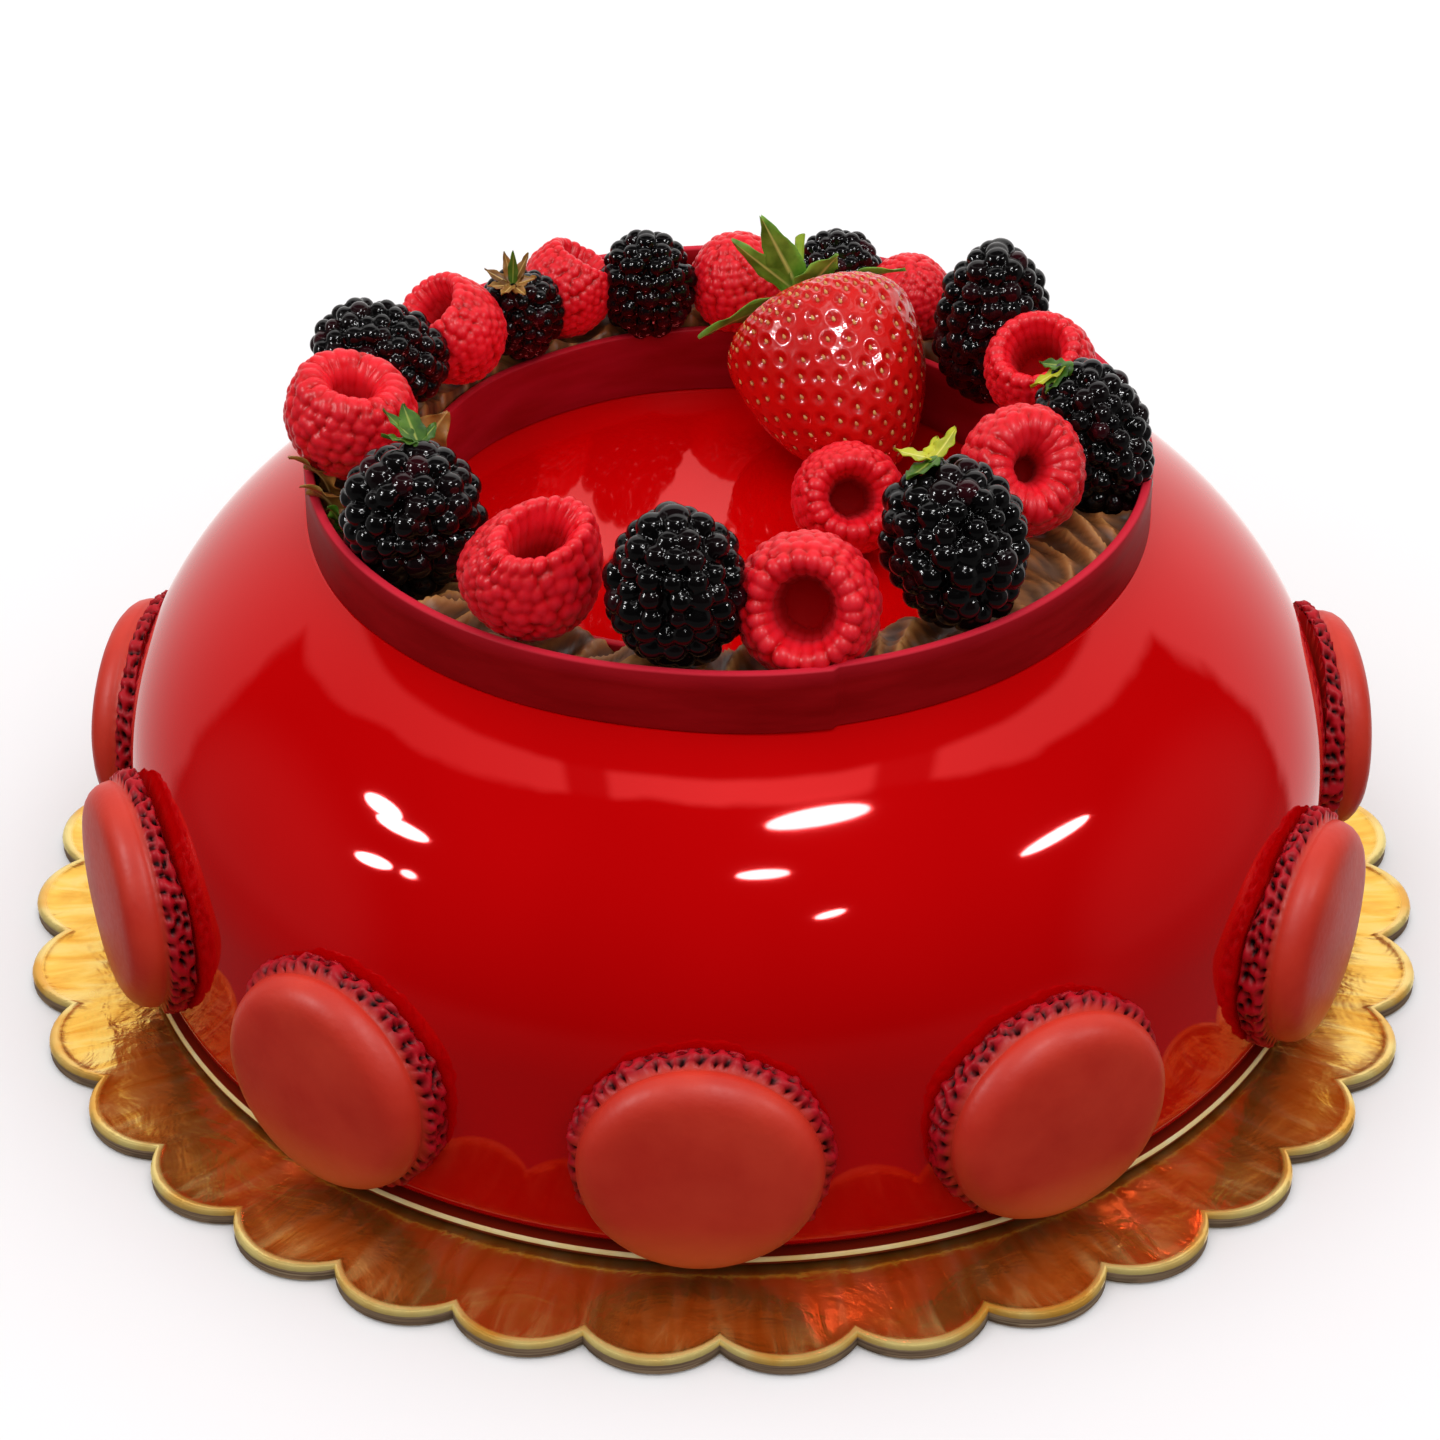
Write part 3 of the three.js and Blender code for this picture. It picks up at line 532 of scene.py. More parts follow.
# %% The board
BOARD_TIP, BOARD_NOTCH = 120.0, 114.8
SCALLOPS, FIRST_NOTCH = 34, 174.4
BOARD_THICK, FOIL_TOP = 3.0, 2.6  # the board's thickness over its rolled edge, and inside it
ARC_STEPS = 14


def scalloped_outline():
    """The board's edge, as points round the board's own middle."""
    half = math.pi / SCALLOPS
    half_chord = BOARD_NOTCH * math.sin(half)
    rise = BOARD_TIP - BOARD_NOTCH * math.cos(half)
    arc = (half_chord**2 + rise**2) / (2 * rise)
    sweep = math.asin(half_chord / arc)
    middles = math.radians(FIRST_NOTCH) + (2 * np.arange(SCALLOPS)[:, None] + 1) * half
    turns = middles + sweep * np.linspace(-1, 1, ARC_STEPS, endpoint=False)
    x = (BOARD_TIP - arc) * np.cos(middles) + arc * np.cos(turns)
    y = (BOARD_TIP - arc) * np.sin(middles) + arc * np.sin(turns)
    return np.stack([x.ravel(), y.ravel()], -1)


# Each ring: how far inside the outline it runs, and its height above the floor.
BOARD_SECTION = [(0.5, 0), (0, 0.35), (0, 1.7), (-0.1, 2.1), (0.1, 2.7), (0.6, BOARD_THICK), (1.3, 2.98),
                 (2.0, 2.8), *[(inset, FOIL_TOP) for inset in (2.8, 5.5, 10, 22)]]
outline = scalloped_outline()
reach = np.linalg.norm(outline, axis=1, keepdims=True)
rings = [np.hstack([outline * (1 - inset / reach), np.full_like(reach, high)]) for inset, high in BOARD_SECTION]
count = len(outline)
points = np.vstack([*rings, [[0, 0, 0], [0, 0, FOIL_TOP]]])
points = points - [CAKE_PLACE[0], CAKE_PLACE[1], BOARD_THICK]
faces = grid_faces(len(rings), count) + end_faces(len(points) - 2, (len(rings) - 1) * count, count)
raw = np.arange(len(faces)) < 3 * count  # the three lowest rows of faces show the raw card


def for_each_ring(values):
    return np.repeat([*values, 0], [count] * len(rings) + [2])


# The second mark rises towards the edge and says how strongly the painted glints show there.
marks = {"rim": for_each_ring(float(inset < 1.5) for inset, _ in BOARD_SECTION),
         "painted_light": for_each_ring(max(0.0, 1 - inset / 10) for inset, _ in BOARD_SECTION)}
board = make_piece("cake_board_foil", points, faces, [gold_foil, card_side], ["cake_board"], raw,
                   marks, sharp=50)
print("board outline has", count, "points")

# %% The card
CARD_RADIUS, CARD_FOOT, CARD_TOP = 102.2, 0.3, 1.6
# Only the upper edge is painted pale gold with a painted highlight where it catches the light; below it and on top
# the foil is painted dark reddish brown, as a painted reflection of the dark and the glaze and as painted shade under
# the cake.
CARD_LIP = [(0, 0.55), (0.18, 0.16), (0.48, 0)]  # how far in and how far down the bright edge runs
edge = [(CARD_RADIUS - 0.3, CARD_FOOT), (CARD_RADIUS, CARD_FOOT + 0.3), (CARD_RADIUS, CARD_TOP - 0.62),
        *[(CARD_RADIUS - inward, CARD_TOP - down) for inward, down in CARD_LIP], (CARD_RADIUS - 0.54, CARD_TOP)]
points, faces = turned([(0, CARD_FOOT), *edge, (0, CARD_TOP)], 240)
lip = (points[:, 2] > CARD_TOP - 0.6) & (np.hypot(points[:, 0], points[:, 1]) > CARD_RADIUS - 0.5)
card = make_piece("cake_card_foil", points, faces, [card_edge], ["cake_card"], marks={"lip": lip},
                  sharp=50)

# The small lamps would leave orange blotches on the foil, so they don't light the board and the card.
without_lamps = bpy.data.collections.new("without_lamps")
for plate in (board, card):
    without_lamps.objects.link(plate)
for held in without_lamps.collection_objects:
    held.light_linking.link_state = "EXCLUDE"
for name in LAMPS:
    bpy.data.objects[name].light_linking.receiver_collection = without_lamps

# %% [markdown]
# ## The mirror glaze
#
# A mirror glaze is poured over the frozen cake while it is warm. It runs down, levels itself, and
# sets as a thin clear jelly over a red body. So the surface is very smooth, but not perfect: it
# waves by a few hundredths of a millimetre, which is what makes the highlights soft at their ends.
# The shape is a profile turned round the axis: a rounded foot, an upright wall, the dome, the flat
# seat for the outer band, and the well inside the inner band. A little slow noise moves its points.

# %% Glaze finish
DEPTH = 0.25  # share of the light that comes back coloured from under the clear layer
DISH = 2.4  # how strongly the poured disc in the well curves up to its rim
WELL_WAVE = 0.00002  # how uneven that curve is


def mirror_glaze(name):
    made = Finish(name, srgb(222, 1, 4), 0.045, ior=1.48, metallic=DEPTH, specular_ior_level=0.38)
    made.colour(made.ramp(made.noise(18, detail=2), (0.3, srgb(216, 0, 3)), (0.7, srgb(228, 2, 6))))
    made.rough(made.noise(35, detail=2), 0.025, 0.06)
    return made


glaze = mirror_glaze("red_mirror_glaze")
glaze.bump(glaze.noise(26, detail=1.5), 0.35, 0.12)
well_glaze = mirror_glaze("red_well_glaze")
from_axis = [well_glaze.calc("SUBTRACT", at, axis * MM) for at, axis in zip(well_glaze.xyz(), CAKE_PLACE[:2])]
waves = well_glaze.calc("MULTIPLY", well_glaze.noise(40, detail=1), WELL_WAVE)
well_glaze.bump(well_glaze.calc("ADD", well_glaze.squares(*from_axis), waves), DISH / MM)
print("finishes for the cake:", glaze.material.name, "and", well_glaze.material.name)

# %% The glazed cake
CAKE_RADIUS = 101.6
CAKE_FOOT = 1.9
SHOULDER, CROWN = 33.5, 101.0  # heights where the dome starts, and where it would end without the seat
DOME_RISE, DOME_ROUND = 2.05, 1.56
SEAT, WELL = 78.8, 70.0  # heights of the outer band's seat and of the well's bottom
WELL_RADIUS = 53.5
GLAZE_WAVE, WELL_SWELL = 0.05, 0.04  # how far the slow waves move the dome and the well, in mm


def dome_radius(height):
    """The glaze's radius at a height above the board."""
    rise = np.clip((np.asarray(height, float) - SHOULDER) / (CROWN - SHOULDER), 0, 1)
    return CAKE_RADIUS * (1 - rise**DOME_RISE) ** (1 / DOME_ROUND)


foot = [(CAKE_RADIUS - 2.8, CAKE_FOOT), (CAKE_RADIUS - 1.5, CAKE_FOOT + 0.4), (CAKE_RADIUS - 0.55, CAKE_FOOT + 1.7),
        (CAKE_RADIUS - 0.1, CAKE_FOOT + 3.4), (CAKE_RADIUS, CAKE_FOOT + 4.8)]
wall = [(CAKE_RADIUS, h) for h in np.linspace(9, SHOULDER, 16)]
heights = SHOULDER + (SEAT - SHOULDER) * np.sin(np.linspace(0, math.pi / 2, 66)[1:])
dome = [(float(dome_radius(h)), h) for h in heights]
well = [(WELL_RADIUS + 0.6, SEAT), (WELL_RADIUS, SEAT - 0.6), (WELL_RADIUS, WELL + 1.5),
        (WELL_RADIUS - 0.4, WELL + 0.5), (WELL_RADIUS - 1.4, WELL)]
disc = [(r, WELL) for r in np.linspace(WELL_RADIUS - 3, 3, 22)]
points, faces = turned([(0, CAKE_FOOT), *foot, *wall, *dome, *well, *disc, (0, WELL)], 252)
in_well = [all(abs(points[v][2] - WELL) < 0.01 for v in face) for face in faces]

angle = np.arctan2(points[:, 0], -points[:, 1])
slow_wave = 0.5 * np.sin(3 * angle + points[:, 2] / 9) + 0.3 * np.sin(7 * angle - points[:, 2] / 6 + 1)
slow_wave += 0.2 * np.sin(points[:, 0] / 7) * np.sin(points[:, 1] / 8)
open_dome = np.clip((SEAT - 1 - points[:, 2]) / 6, 0, 1) * np.clip((points[:, 2] - 6) / 6, 0, 1)
across = np.hypot(points[:, 0], points[:, 1])
on_dome = (across > 60) * open_dome
points[:, :2] *= 1 + (GLAZE_WAVE * slow_wave * on_dome / np.maximum(across, 1))[:, None]
points[:, 2] += WELL_SWELL * slow_wave * (across < 50) * (points[:, 2] > 60)
make_piece("mirror_glaze", points, faces, [glaze, well_glaze], ["glazed_cake"], in_well, sharp=60)
print("glaze has", len(faces), "faces and waves by", GLAZE_WAVE, "mm")

# %% [markdown]
# ## The chocolate bands
#
# Two strips of thin red chocolate stand on edge round the fruit. Each was bent into a ring while
# soft; the outer one's loose end overlaps the start by less than its own thickness, so a step shows
# near the front. Spread chocolate has a matt face and a cut edge that shines; that shine is painted,
# as a lighter colour on the top edge than on the face. The section is a small ten-sided loop with
# bevelled upper corners, carried round the ring in fine steps, with two sections close together where
# the end steps down. Bending a straight strip with a modifier would work too, but the step at the
# seam needs its own rule.

# %% Chocolate finish
def chocolate(name, face, shade, lip):
    made = Finish(name, face, 0.3, ior=1.45, specular_ior_level=0.06)
    smear = made.noise(60, detail=4, stretch=(1, 1, 5))
    body = made.ramp(smear, (0.3, shade), (0.7, face))
    # The cut edge is mixed towards a lighter colour, a painted highlight.
    made.colour(made.mix(made.mark("lip"), body, lip))
    made.rough(smear, 0.3, 0.5)
    made.bump(made.noise(150, detail=3, stretch=(1, 1, 4)), 0.15, 0.5)
    return made


outer_chocolate = chocolate("outer_chocolate", srgb(164, 14, 20), srgb(140, 6, 10), srgb(210, 40, 60))
inner_chocolate = chocolate("inner_chocolate", srgb(176, 18, 34), srgb(150, 6, 14), srgb(206, 30, 48))
print("finishes for the bands:", outer_chocolate.material.name, "and", inner_chocolate.material.name)

# %% The bands
BAND_THICK = 1.6
OUTER_BAND = {"outer": 69.7, "foot": SEAT + 0.3, "top": 89.5, "wave": 0.25, "lap": 0.8, "seam": 13}
INNER_BAND = {"outer": 53.2, "foot": WELL + 0.3, "top": 82.3, "wave": 0.2, "lap": 0, "seam": 150}
LAP_SWEEP = 22  # degrees over which the loose end sinks back to the ring
BAND_STEPS = 420
LIP = 0.35  # rounding of the cut edge


def band_piece(name, band, finish, node):
    angles = band["seam"] + np.linspace(0, 360, BAND_STEPS, endpoint=False)
    angles = np.append(angles, band["seam"] + 359.9) if band["lap"] else angles
    before_seam = (band["seam"] - angles) % 360
    lap = band["lap"] * np.clip(1 - before_seam / LAP_SWEEP, 0, 1)
    wobble = 0.12 * np.sin(np.radians(5 * angles)) + 0.07 * np.sin(np.radians(11 * angles + 50))
    top = band["top"] + band["wave"] * np.sin(np.radians(3 * angles + 40)) + 0.5 * wobble
    outer = band["outer"] + lap
    inner = outer - BAND_THICK
    low = np.full_like(angles, band["foot"])
    # For each point of the section the loop gives radius, height and how much of the painted edge highlight it gets.
    loop = [  # radius, height and share of the cut edge's colour
        (inner, low, 0), (outer, low, 0), (outer, top - 3, 0),
        (outer, top - LIP, 0.25), (outer - LIP / 3, top - LIP / 3, 0.8), (outer - LIP, top, 1),
        (inner + LIP, top, 1), (inner + LIP / 3, top - LIP / 3, 0.8), (inner, top - LIP, 0.25),
        (inner, top - 3, 0),
    ]
    rows = []
    for radius, high, _ in loop:
        row = direction(angles) * (radius + wobble)[:, None]
        row[:, 2] = high
        rows.append(row)
    points = np.stack(rows, 1).reshape(-1, 3)
    faces = grid_faces(len(angles), len(loop))
    last = (len(angles) - 1) * len(loop)
    for k in range(len(loop)):
        m = (k + 1) % len(loop)
        faces.append([last + k, last + m, m, k])
    painted_edge_lights = np.tile([share for _, _, share in loop], len(angles))
    return make_piece(name, points, faces, [finish], [node], marks={"lip": painted_edge_lights}, sharp=55)


band_piece("outer_chocolate_band", OUTER_BAND, outer_chocolate, "outer_band")
band_piece("inner_chocolate_band", INNER_BAND, inner_chocolate, "inner_band")
print("bands", BAND_THICK, "mm thick")

# %% [markdown]
# ## Where the berries sit
#
# All berries are set on the cream by hand, so no two lie alike. For each one the list gives the
# angle round the cake, the distance from its axis, the height of its middle above the dome's seat,
# its width and length, and the way its stem end points. A raspberry is picked off its core and is
# open there; two of them lie with the hole down, so they look shut. The fruit could be dropped onto
# the cream by a physics run, but then it would not lie as it does on this cake.

# %% The berries
RASPBERRIES = [
    # around, out, up, wide, long, way of the stem end, hole down
    (-84.5, 61.4, 18.6, 21.8, 20.0, (0.1, -0.15, 1), False),
    (-122.5, 55.0, 14.8, 18.4, 18.5, (-0.5, -0.2, 0.85), False),
    (-151.5, 59.0, 10.7, 16.6, 17.0, (0.5, 0.2, 0.85), False),
    (178.0, 55.0, 11.0, 17.8, 18.5, (0.2, 0.2, -1), True),
    (148.0, 59.5, 10.2, 16.0, 16.5, (0, 0.3, -1), True),
    (102.5, 53.0, 17.7, 18.6, 18.0, (-0.2, -0.5, 0.85), False),
    (63.8, 52.0, 18.7, 21.0, 19.5, (0.15, -0.75, 0.6), False),
    (83.0, 20.0, 1.2, 19.0, 18.0, (0.1, -0.8, 0.55), False),
    (12.0, 58.0, 15.0, 23.2, 20.5, (-0.1, -0.9, 0.42), False),
    (-31.0, 59.0, 17.6, 23.6, 22.0, (0.22, -0.25, 0.92), False),
]
BRAMBLES = [
    # around, out, up, wide, long, way of the stem end
    (-106.0, 60.0, 17.6, 18.0, 25.0, (-0.8, -0.35, 0.35)),
    (-58.5, 58.5, 14.4, 22.0, 25.5, (0.1, 0.2, 1)),
    (-139.0, 54.2, 11.8, 14.6, 19.0, (-0.1, -0.45, 0.85)),
    (-165.0, 54.0, 12.0, 16.4, 20.5, (0, 0.1, -1)),
    (162.0, 60.0, 10.6, 15.4, 18.0, (0.6, 0, 0.6)),
    (122.5, 53.0, 17.4, 20.0, 31.0, (0, 0.15, -1)),
    (81.5, 60.0, 15.8, 18.8, 29.0, (-0.35, 0.1, 0.9)),
    (36.7, 58.6, 19.7, 22.2, 28.0, (-0.25, 0.35, 0.9)),
    (-7.8, 59.0, 19.6, 21.2, 27.0, (0, 0.05, -1)),
]
EGG = 0.1  # how much wider a berry is at its stem end


def berry_place(around, out, up, way):
    """Middle of a berry and the turn that takes its own +Z to its stem end."""
    middle = direction(around) * out + [0, 0, SEAT + up]
    turn = Vector((0, 0, 1)).rotation_difference(Vector(way).normalized())
    return middle, np.array(turn.to_matrix())


print(len(RASPBERRIES), "raspberries and", len(BRAMBLES), "brambles")

# %% [markdown]
# ## Drupelets
#
# A raspberry or bramble is a cluster of small juicy beads, the drupelets, set in rows round a core
# like tiles on a dome. To model one, a smooth egg is covered with bead centres, row by row, each
# row half a bead further round. Every point of the fine mesh is then lifted by the height of the
# nearest bead's round back, so beads meet in sharp creases, as the real ones do when they press on
# each other. Metaballs would merge the beads softly, and a bump map would leave the outline smooth.
# The mesh also stores how deep each point lies, which paints shade into the creases, and which bead it is on, for the
# colours.


# %% Beads on a curve of revolution
def bead_rows(meridian, spacing, first, last, stray=0.09):
    """Bead centres in staggered rows along a (radius, height) line, a little astray."""
    walked = walk(meridian)
    rows = max(3, round((last - first) * walked[-1] / (spacing * 0.86)) + 1)
    centres = []
    for row, at in enumerate(np.linspace(first, last, rows) * walked[-1]):
        radius = np.interp(at, walked, meridian[:, 0])
        high = np.interp(at, walked, meridian[:, 1])
        number = max(1, round(TAU * radius / spacing))
        turns = (np.arange(number) + 0.5 * (row % 2)) * TAU / number
        turns += luck.normal(0, stray, number) / max(1, number / 6)
        lift = high + luck.normal(0, 0.55 * stray * spacing, number)
        centres.append(np.stack([radius * np.sin(turns), -radius * np.cos(turns), lift], -1))
    return np.vstack(centres)


def raise_beads(points, normals, centres, bead, crown=1.0, overlap=1.16, drawn_out=None, uneven=0.045):
    """Points lifted along their normals onto round beads; also depth in the creases and bead number.
    drawn_out gives, for each bead, the vector along which it is longer than it is wide.
    """
    size = bead / 2 * overlap * (1 + luck.normal(0, uneven, len(centres)))
    apart = points[:, None, :] - centres[None]
    tall = size[None] ** 2 - (apart**2).sum(2)
    if drawn_out is not None:
        tall += np.einsum("nmk,mk->nm", apart, drawn_out) ** 2
    nearest = np.argmax(tall, axis=1)
    best = np.take_along_axis(tall, nearest[:, None], 1)[:, 0]
    high = np.sqrt(np.clip(best, 0, None))
    lifted = points + normals * (high * crown)[:, None]
    depth = 1 - high / size[nearest]
    return lifted, depth, nearest


def tinted(nearest, number):
    """A random number for each bead, carried to its points."""
    return luck.random(number)[nearest]


print("one source of luck serves all beads, so the fruit looks the same in every run")

# %% Shapes of revolution with their normals
def meridian_normals(meridian):
    """Outward unit normals of a (radius, height) line that runs from the bottom up."""
    along = np.gradient(meridian, axis=0)
    normals = np.stack([along[:, 1], -along[:, 0]], -1)
    return normals / np.maximum(np.linalg.norm(normals, axis=1, keepdims=True), 1e-9)


def ring_points(meridian, segments):
    """Points and normals of the rings between a line's two poles, then the poles."""
    normals = meridian_normals(meridian)
    angles = np.arange(segments) * TAU / segments
    spin = np.stack([np.sin(angles), -np.cos(angles)], -1)

    def spun(line):
        flat = line[1:-1, None, :1] * spin[None]
        return np.concatenate([flat, np.repeat(line[1:-1, None, 1:], segments, 1)], -1).reshape(-1, 3)

    ends = [[0, 0, meridian[0, 1]], [0, 0, meridian[-1, 1]]]
    end_normals = [[0, 0, -1], [0, 0, np.sign(normals[-1, 1]) or 1]]
    faces = turned(meridian, segments)[1]
    return np.vstack([spun(meridian), ends]), np.vstack([spun(normals), end_normals]), faces


print("a line of berry skin is turned in rings and closed at both poles")

# %% [markdown]
# ## Raspberries
#
# A raspberry's skin is a matt, slightly furry red over bright juice. Its colour is painted lighter on
# the top of each bead, where light comes through, and darker in the creases and deep in the hole:
# painted light and painted shade. The hole left by the core is a cone with a blunt rim, where the last
# row of beads folds over and its inner ends run down the wall. Because the section turns back into
# the hole, an open raspberry is a turned line; a shut one is an egg.

# %% Raspberry skin
raspberry_skin = Finish("raspberry_skin", srgb(226, 12, 30), 0.4, ior=1.4)
raspberry_skin.set(subsurface_weight=0.3, subsurface_radius=(1.0, 0.08, 0.08), subsurface_scale=1.5 * MM)
raspberry_skin.set(sheen_weight=0.05, sheen_roughness=0.4, sheen_tint=(1, 0.5, 0.55, 1))
# The crease mark paints the skin lighter on the top of each bead and darker in the creases: painted light and painted
# shade.
crease = raspberry_skin.mark("crease")
skin = raspberry_skin.ramp(crease, (0.0, srgb(250, 34, 52)), (0.3, srgb(240, 14, 32)), (0.7, srgb(224, 4, 18)),
                           (1.0, srgb(196, 0, 8)))
bead_tint = raspberry_skin.ramp(raspberry_skin.mark("bead"), (0.0, (0.88, 0.7, 0.76)), (1.0, (1.0, 1.0, 1.0)))
skin = raspberry_skin.mix(1.0, skin, bead_tint, "MULTIPLY")
# Deep in the hole the skin is painted darker, a painted shade in the recess.
inside = raspberry_skin.mark("inside")
raspberry_skin.colour(raspberry_skin.mix(inside, skin, srgb(172, 0, 5)))
fuzz = raspberry_skin.calc("MULTIPLY_ADD", raspberry_skin.noise(900), 0.18, 0.24)
raspberry_skin.wire("Roughness", raspberry_skin.calc("MULTIPLY_ADD", inside, 0.4, fuzz))
raspberry_skin.wire("Specular IOR Level", raspberry_skin.span(inside, 0.42, 0.06))
raspberry_skin.bump(raspberry_skin.noise(1400, detail=2), 0.05, 0.5)
print("made", raspberry_skin.material.name)

# %% Raspberries
RASPBERRY_BEAD = 10.4  # beads across a raspberry's width, roughly
RASPBERRY_STEPS = 180
# rows of long beads from the crest down the hole's wall: how many beads along, and how drawn out
RIM_ROWS = [(0, 0.84), (1.5, 0.9), (3.2, 0.93)]
# mouths that are squeezed: by how much, and which way
PINCHED = {10: (0.62, -40), 1: (0.25, 60), 2: (0.2, 0), 7: (0.2, 0)}
SMALL_MOUTH = {1: 0.72, 7: 0.6, 8: 0.9}  # mouths that have closed up: by which factor


def egg_line(wide, long, until=1.0, count=120):
    """Meridian of the egg from its tip up to a share of its height."""
    z = -np.cos(np.linspace(0, math.pi, count))
    z = z[z <= until]
    return np.stack([wide / 2 * (1 + EGG * z) * np.sqrt(np.clip(1 - z * z, 0, None)), z * long / 2], -1)


def open_berry_line(wide, long, mouth):
    """The egg up to its blunt rim, then down into the hole."""
    side = egg_line(wide, long, 0.5, 60)
    half, tall = wide / 2, long / 2
    over = [(0.87, 0.64), (0.79, 0.79), (0.4 + 0.27 * mouth, 0.8), (0.15 + 0.43 * mouth, 0.62)]
    down = [(mouth * 0.53, 0.32), (mouth * 0.45, 0.02), (mouth * 0.28, -0.18), (0, -0.24)]
    return smooth_curve([*side[::6], *[(half * out, tall * high) for out, high in over + down]], 106)


def raspberry(number, around, out, up, wide, long, way, hole_down):
    name = f"raspberry_{number}"
    bead = wide / RASPBERRY_BEAD
    lift = bead / 2
    small_wide, small_long = wide - 2 * lift, long - 2 * lift
    middle, turn = berry_place(around, out, up, way)
    if hole_down:
        line = evenly(egg_line(small_wide, small_long), 84)
        last = 0.97
    else:
        line = open_berry_line(small_wide + 0.5 * lift, small_long + 0.9 * lift, SMALL_MOUTH.get(number, 1.0))
        line[-1, 0] = 0
        walked = walk(line)
        crest = walked[np.argmax(line[:, 1])]
        last = (crest - 1.2 * bead) / walked[-1]
    line[0, 0] = 0
    points, normals, faces = ring_points(line, RASPBERRY_STEPS)
    centres = bead_rows(line, bead, 0.02, last, stray=0.16)
    drawn_out = np.zeros_like(centres)
    inside = np.zeros(len(points))
    grip = np.zeros(len(points))
    if not hole_down:
        inside[:-2] = np.repeat(np.clip((walked[1:-1] - crest - 1.2 * bead) / (2.5 * bead), 0, 1), RASPBERRY_STEPS)
        grip[:-2] = np.repeat(np.interp(walked[1:-1], (0.5 * crest, crest, walked[-1]), (0, 0.6, 1)), RASPBERRY_STEPS)
        inside[-1] = grip[-1] = 1
        lobes = round(TAU * np.interp(crest, walked, line[:, 0]) / bead)
        turns = (np.arange(lobes) + luck.normal(0, 0.1, lobes)) * TAU / lobes
        outward = np.stack([np.sin(turns), -np.cos(turns), 0 * turns], -1)

        def spot_on_line(beads_past_crest):
            at = crest + beads_past_crest * bead
            return np.array([np.interp(at, walked, line[:, k]) for k in (0, 1)])

        for beads_on, drawn in RIM_ROWS:
            here, ahead = spot_on_line(beads_on), spot_on_line(beads_on + 0.2)
            run = (ahead - here) / np.linalg.norm(ahead - here)
            centres = np.vstack([centres, outward * here[0] + [0, 0, here[1]]])
            drawn_out = np.vstack([drawn_out, (outward * run[0] + [0, 0, run[1]]) * drawn])
    points, depth, nearest = raise_beads(points, normals, centres, bead, 0.66, 1.26, drawn_out, 0.08)
    squeeze, askew = PINCHED.get(number, (0.08, around))
    across = np.array([math.cos(math.radians(askew)), math.sin(math.radians(askew))])
    along = np.array([-across[1], across[0]])
    points[:, :2] -= np.outer((points[:, :2] @ across) * squeeze * grip, across)
    points[:, :2] += np.outer((points[:, :2] @ along) * 0.25 * squeeze * grip, along)
    points[:, 2] -= 0.35 * squeeze * (points[:, :2] @ along) ** 2 / wide * grip
    marks = {"crease": depth, "bead": tinted(nearest, len(centres)), "inside": inside}
    return make_piece(f"{name}_flesh", points @ turn.T + middle, faces, [raspberry_skin], [name],
                      marks=marks)


for number, berry in enumerate(RASPBERRIES, 1):
    made = raspberry(number, *berry)
print("the last raspberry has", len(made.data.polygons), "faces")

# %% [markdown]
# ## Brambles
#
# A bramble keeps its core, so it has no hole, and its beads are larger, rounder and glossier. They
# are almost black, with a red or purple glow where the skin is thin, so each bead gets its own
# dark tint. The mesh is a fine icosphere, because its points are spread evenly over both ends.

# %% Bramble skin
bramble_skin = Finish("bramble_skin", srgb(12, 8, 9), 0.16, ior=1.45)
tint = bramble_skin.ramp(bramble_skin.mark("bead"), (0.0, srgb(6, 5, 6)), (0.6, srgb(10, 7, 8)),
                         (0.9, srgb(20, 7, 10)), (1.0, srgb(46, 6, 14)))
# The creases are painted darker, a painted shade between the beads.
painted_crease_shade = bramble_skin.ramp(bramble_skin.mark("crease"), (0.25, (1, 1, 1)), (0.9, (0.3, 0.2, 0.25)))
bramble_skin.colour(bramble_skin.mix(1.0, tint, painted_crease_shade, "MULTIPLY"))
bramble_skin.rough(bramble_skin.noise(700), 0.05, 0.18)
bramble_skin.bump(bramble_skin.noise(500, detail=2), 0.06, 0.4)
print("made", bramble_skin.material.name)

# %% Brambles
BRAMBLE_BEAD = 5.9  # beads across a bramble's width, roughly


def ball(fineness):
    """Points and faces of a unit icosphere."""
    work = bmesh.new()
    bmesh.ops.create_icosphere(work, subdivisions=fineness, radius=1)
    work.verts.ensure_lookup_table()
    points = np.array([v.co for v in work.verts])
    faces = [[v.index for v in f.verts] for f in work.faces]
    work.free()
    return points, faces


fine_ball, fine_faces = ball(6)


def bramble(name, around, out, up, wide, long, way):
    bead = wide / BRAMBLE_BEAD
    lift = bead / 2 * 1.15
    small_wide, small_long = wide - 2 * lift, long - 2 * lift
    middle, turn = berry_place(around, out, up, way)
    z = fine_ball[:, 2]
    across = small_wide / 2 * (1 + EGG * z)
    points = np.stack([fine_ball[:, 0] * across, fine_ball[:, 1] * across, z * small_long / 2], -1)
    normals = fine_ball / np.array([small_wide, small_wide, small_long])
    normals /= np.linalg.norm(normals, axis=1, keepdims=True)
    centres = bead_rows(evenly(egg_line(small_wide, small_long), 120), bead, 0.03, 0.97, stray=0.17)
    centres[:, :2] *= 1 + luck.normal(0, 0.05, (len(centres), 1))
    points, depth, nearest = raise_beads(points, normals, centres, bead, crown=1.1, overlap=1.12, uneven=0.09)
    bend = 0.05 * np.sin(np.arctan2(points[:, 0], points[:, 1]) * 2 + around)
    points[:, :2] *= 1 + bend[:, None]
    marks = {"crease": depth, "bead": tinted(nearest, len(centres))}
    return make_piece(f"{name}_flesh", points @ turn.T + middle, fine_faces, [bramble_skin], [name],
                      marks=marks)


for number, berry in enumerate(BRAMBLES, 1):
    made = bramble(f"bramble_{number}", *berry)
print("the last bramble has", len(made.data.polygons), "faces")

